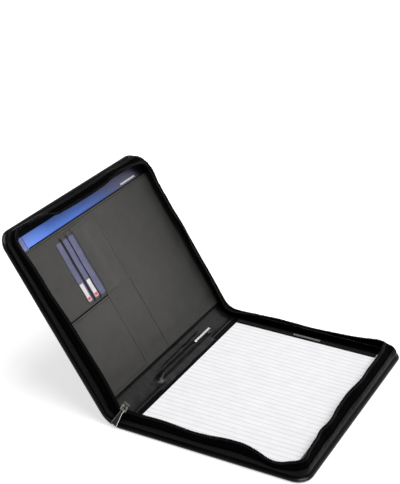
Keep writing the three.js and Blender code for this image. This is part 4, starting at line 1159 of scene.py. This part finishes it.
def tooth_row(band, name):
    """Moulded teeth along the band's free edge."""
    mid = band.at(1.28, 1.0 - 1.5 / 26)
    top = band.at(1.28, 1.0)
    side = band.at(2.28, 1.0 - 1.5 / 26)
    seg = np.linalg.norm(np.diff(mid, axis=0), axis=1)
    dist = np.concatenate([[0], np.cumsum(seg)])
    pitch = 2.1 * MM
    count = int(dist[-1] / pitch)
    at_ = (np.arange(count) + 0.5) * dist[-1] / count

    def get(A):
        return np.stack([np.interp(at_, dist, A[:, k]) for k in range(3)], -1)

    C, U, S_ = get(mid), get(top), get(side)
    U = U - C
    U /= np.linalg.norm(U, axis=1, keepdims=True)
    S_ = S_ - C
    S_ -= U * np.sum(S_ * U, axis=1, keepdims=True)
    S_ /= np.linalg.norm(S_, axis=1, keepdims=True)
    T_ = np.cross(U, S_)
    outline = [(-1.1, -1.9), (1.1, -1.9), (1.45, -1.2), (1.3, 0.9), (0.7, 1.75), (-0.7, 1.75), (-1.3, 0.9), (-1.45, -1.2)]
    verts, faces = [], []
    for i in range(count):
        base = len(verts)
        for along_, k in ((-0.62, 0.82), (-0.45, 1.0), (0.45, 1.0), (0.62, 0.82)):
            for a, b in outline:
                verts.append(C[i] + MM * (T_[i] * along_ + S_[i] * a * k + U[i] * (b * k + 0.1)))
        m = len(outline)
        for q in range(3):
            for j in range(m):
                w = base + q * m
                faces.append([w + j, w + (j + 1) % m, w + m + (j + 1) % m, w + m + j])
        faces.append([base + j for j in range(m)][::-1])
        faces.append([base + 3 * m + j for j in range(m)])
    return mesh_piece(name, np.array(verts), faces, TEETH, smooth=False)


for side_name, table, sign in (("back", BACK_BAND, 1), ("front", FRONT_BAND, -1)):
    band = Band(table, sign)
    g = band.loft(f"gusset_{side_name}", section(0.0, 1.0, 0.0, SHARE + 0.03, 14, 0.25), GUSSET, 26)
    case(g, "gusset_leather", f"{side_name}_gusset")
    tp = band.loft(f"tape_{side_name}", section(1.0, 1.56, SHARE - 0.16, 1.0, 12), TAPE, 26)
    case(tp, "zip_tape", f"{side_name}_zip_tape")
    case(tooth_row(band, f"teeth_{side_name}"), "zip_tape")
    # seam of leather and tape, and the welt at the foot
    seam = band.at(-0.02, SHARE - 0.05)
    out_ = seam - band.at(1.0, SHARE - 0.05)
    out_ /= np.linalg.norm(out_, axis=1, keepdims=True)
    a, b = dense(seam, out_)
    inner = band.at(1.62, SHARE - 0.05)
    a2, b2 = dense(inner, -out_)
    case(mesh_piece(f"band_stitches_{side_name}", *join_parts([
        stitch_mesh(a, b, 3.2, 2.3, 0.2), stitch_mesh(a2, b2, 3.2, 2.3, 0.2)]), THREAD), "gusset_leather")
    foot = band.at(-0.55, 0.02)
    tv, tf = tube(foot[::2], 0.62 * MM, 8)
    case(mesh_piece(f"foot_welt_{side_name}", tv, tf, GUSSET), "gusset_leather")

# ------------------------------------------------------------------ zip slider
slider_node = NODES["zip_slider"]
slider_node.data.materials.clear()
slider_node.data.materials.append(SLIDER_M)
bev = slider_node.modifiers.new("edge", "BEVEL")
bev.width, bev.segments, bev.limit_method = 0.4 * MM, 3, "ANGLE"

# Pull: a flat flared plate with a raised rim round a dull field, part of the rim bright as a painted highlight.
pull_frame = (Matrix.Translation(Vector((-117.0 * MM, -168.5 * MM, 34.0 * MM))) @ Matrix.Rotation(BEND / 2, 4, "Y")
              @ Matrix.Translation(Vector((0, (-2.6 - 1.15) * MM, -0.6 * MM))))


def pull_outline(inset):
    """Outline of the plate in its own x and z, drawn in by inset."""
    top, low, length = 2.3 - inset, 4.4 - inset, 32.0
    pts = [(-top + 0.6, 0.6 - inset), (top - 0.6, 0.6 - inset), (top, -0.0 - inset), (top, -5.5), (top - 0.25, -7.2)]
    pts += [(low, 0.6 - length + 1.4 + inset), (low - 1.3, 0.6 - length + inset)]
    return pts + [(-x, z) for x, z in reversed(pts[2:])]


def pull_mesh(level):
    import bmesh
    bm = bmesh.new()
    outer = [(x, z) for x, z in pull_outline(0.0)]
    window = [(-1.25, -0.6), (1.25, -0.6), (1.25, -4.4), (-1.25, -4.4)]
    ov = [bm.verts.new((x, 0, z)) for x, z in outer]
    wv = [bm.verts.new((x, 0, z)) for x, z in window]
    edges = [bm.edges.new((ov[i], ov[(i + 1) % len(ov)])) for i in range(len(ov))]
    edges += [bm.edges.new((wv[i], wv[(i + 1) % 4])) for i in range(4)]
    bmesh.ops.triangle_fill(bm, use_beauty=True, use_dissolve=True, edges=edges)
    for f in list(bm.faces):
        c = f.calc_center_median()
        if abs(c.x) < 1.2 and -4.3 < c.z < -0.7:
            bm.faces.remove(f)
    bmesh.ops.recalc_face_normals(bm, faces=bm.faces)
    out = bmesh.ops.extrude_face_region(bm, geom=list(bm.faces))
    bmesh.ops.translate(bm, verts=[g for g in out["geom"] if isinstance(g, bmesh.types.BMVert)], vec=(0, level, 0))
    bmesh.ops.translate(bm, verts=bm.verts, vec=(0, -level / 2, 0))
    bmesh.ops.recalc_face_normals(bm, faces=bm.faces)
    bmesh.ops.scale(bm, verts=bm.verts, vec=(MM, MM, MM))
    bmesh.ops.transform(bm, matrix=pull_frame, verts=bm.verts)
    me = bpy.data.meshes.new("pull_plate")
    bm.to_mesh(me)
    bm.free()
    return me


me = pull_mesh(0.9)
me.materials.append(PULL_M)
plate = link(bpy.data.objects.new("pull_plate", me))
bev = plate.modifiers.new("edge", "BEVEL")
bev.width, bev.segments, bev.limit_method = 0.2 * MM, 3, "ANGLE"
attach(plate, "pull")
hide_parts("zip_pull")

rim = pull_outline(0.42)
turns = len(rim)


def rim_tubes(first, last):
    pts = []
    for i in range(first, last):
        (x0, z0), (x1, z1) = rim[i % turns], rim[(i + 1) % turns]
        for k in np.linspace(0, 1, 7)[:-1]:
            pts.append((x0 + (x1 - x0) * k, z0 + (z1 - z0) * k))
    pts.append(rim[last % turns])
    return [tube(moved([(x, y, z) for x, z in pts], pull_frame), 0.34 * MM, 8) for y in (-0.45, 0.45)]


# The right and bottom edges are in bright metal as a painted highlight, the others in darker metal as painted shade.
for name, first, last, mat, slot_name in (("pull_rim_painted_highlight", 2, 7, BRIGHT, "bright_metal"),
                                          ("pull_rim_painted_shade", 7, 14, SLIDER_M, "dull_metal")):
    edge_piece = mesh_piece(name, *join_parts(rim_tubes(first, last)), mat)
    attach(edge_piece, "pull")

# Plain plate on the outside, with a raised edge.
badge = NODES["badge_plate"]
badge.data.materials.clear()
badge.data.materials.append(DULL)
bev = badge.modifiers.new("edge", "BEVEL")
bev.width, bev.segments, bev.limit_method = 0.25 * MM, 3, "ANGLE"

# ---------------------------------------------------------------- floor, light
floor_me = bpy.data.meshes.new("floor")
floor_me.from_pydata([(-30, -30, -0.0006), (30, -30, -0.0006), (30, 30, -0.0006), (-30, 30, -0.0006)], [], [(0, 1, 2, 3)])
floor = link(bpy.data.objects.new("floor", floor_me))
fm, fnt, fb = material("floor_m")
fb.inputs["Base Color"].default_value = (0.6, 0.6, 0.6, 1)
fb.inputs["Roughness"].default_value = 0.9
fb.inputs["Specular IOR Level"].default_value = 0.1
fb.inputs["Emission Color"].default_value = (1, 1, 1, 1)
fb.inputs["Emission Strength"].default_value = 0.66
floor_me.materials.append(fm)

world = bpy.data.worlds.new("world")
bpy.context.scene.world = world
world.use_nodes = True
bg = world.node_tree.nodes["Background"]
bg.inputs["Color"].default_value = (1.0, 1.0, 1.0, 1)
bg.inputs["Strength"].default_value = 0.22


def sun(name, direction, strength, angle):
    d = bpy.data.lights.new(name, "SUN")
    d.energy, d.angle = strength, math.radians(angle)
    o = link(bpy.data.objects.new(name, d))
    o.rotation_euler = Vector(direction).to_track_quat("-Z", "Y").to_euler()
    return o


sun("key", (-0.40, 0.02, -1.0), 3.1, 50)


def softbox(name, place_, aim, size, power):
    d = bpy.data.lights.new(name, "AREA")
    d.shape, d.size, d.size_y, d.energy = "RECTANGLE", size[0], size[1], power
    o = link(bpy.data.objects.new(name, d))
    o.location = place_
    o.rotation_euler = (Vector(aim) - Vector(place_)).to_track_quat("-Z", "Y").to_euler()
    return o


softbox("softbox", (0.35, 1.8, 1.0), (-0.15, 0.0, 0.1), (3.2, 1.6), 11.3)

# --------------------------------------------------------------------- camera
AZ, EL, ROLL = math.radians(27.0044), math.radians(25.2125), math.radians(0.7208)
back = Vector((math.sin(AZ) * math.cos(EL), -math.cos(AZ) * math.cos(EL), math.sin(EL)))
right0 = Vector((math.cos(AZ), math.sin(AZ), 0))
up0 = back.cross(right0)
right = right0 * math.cos(ROLL) + up0 * math.sin(ROLL)
up = up0 * math.cos(ROLL) - right0 * math.sin(ROLL)
cam_data = bpy.data.cameras.new("camera")
cam_data.sensor_fit = "AUTO"
cam_data.sensor_width = 36.0
cam_data.lens = 1231.66 * 36.0 / 484.0
cam_data.clip_end = 100
cam = link(bpy.data.objects.new("camera", cam_data))
m = Matrix.Identity(4)
for i in range(3):
    m[i][0], m[i][1], m[i][2] = right[i], up[i], back[i]
m.translation = Vector((539.374, -1261.216, 856.352)) * MM
cam.matrix_world = m
bpy.context.scene.camera = cam
bpy.context.scene.view_settings.view_transform = "Standard"
bpy.context.scene.view_settings.look = "None"

bpy.context.view_layer.update()
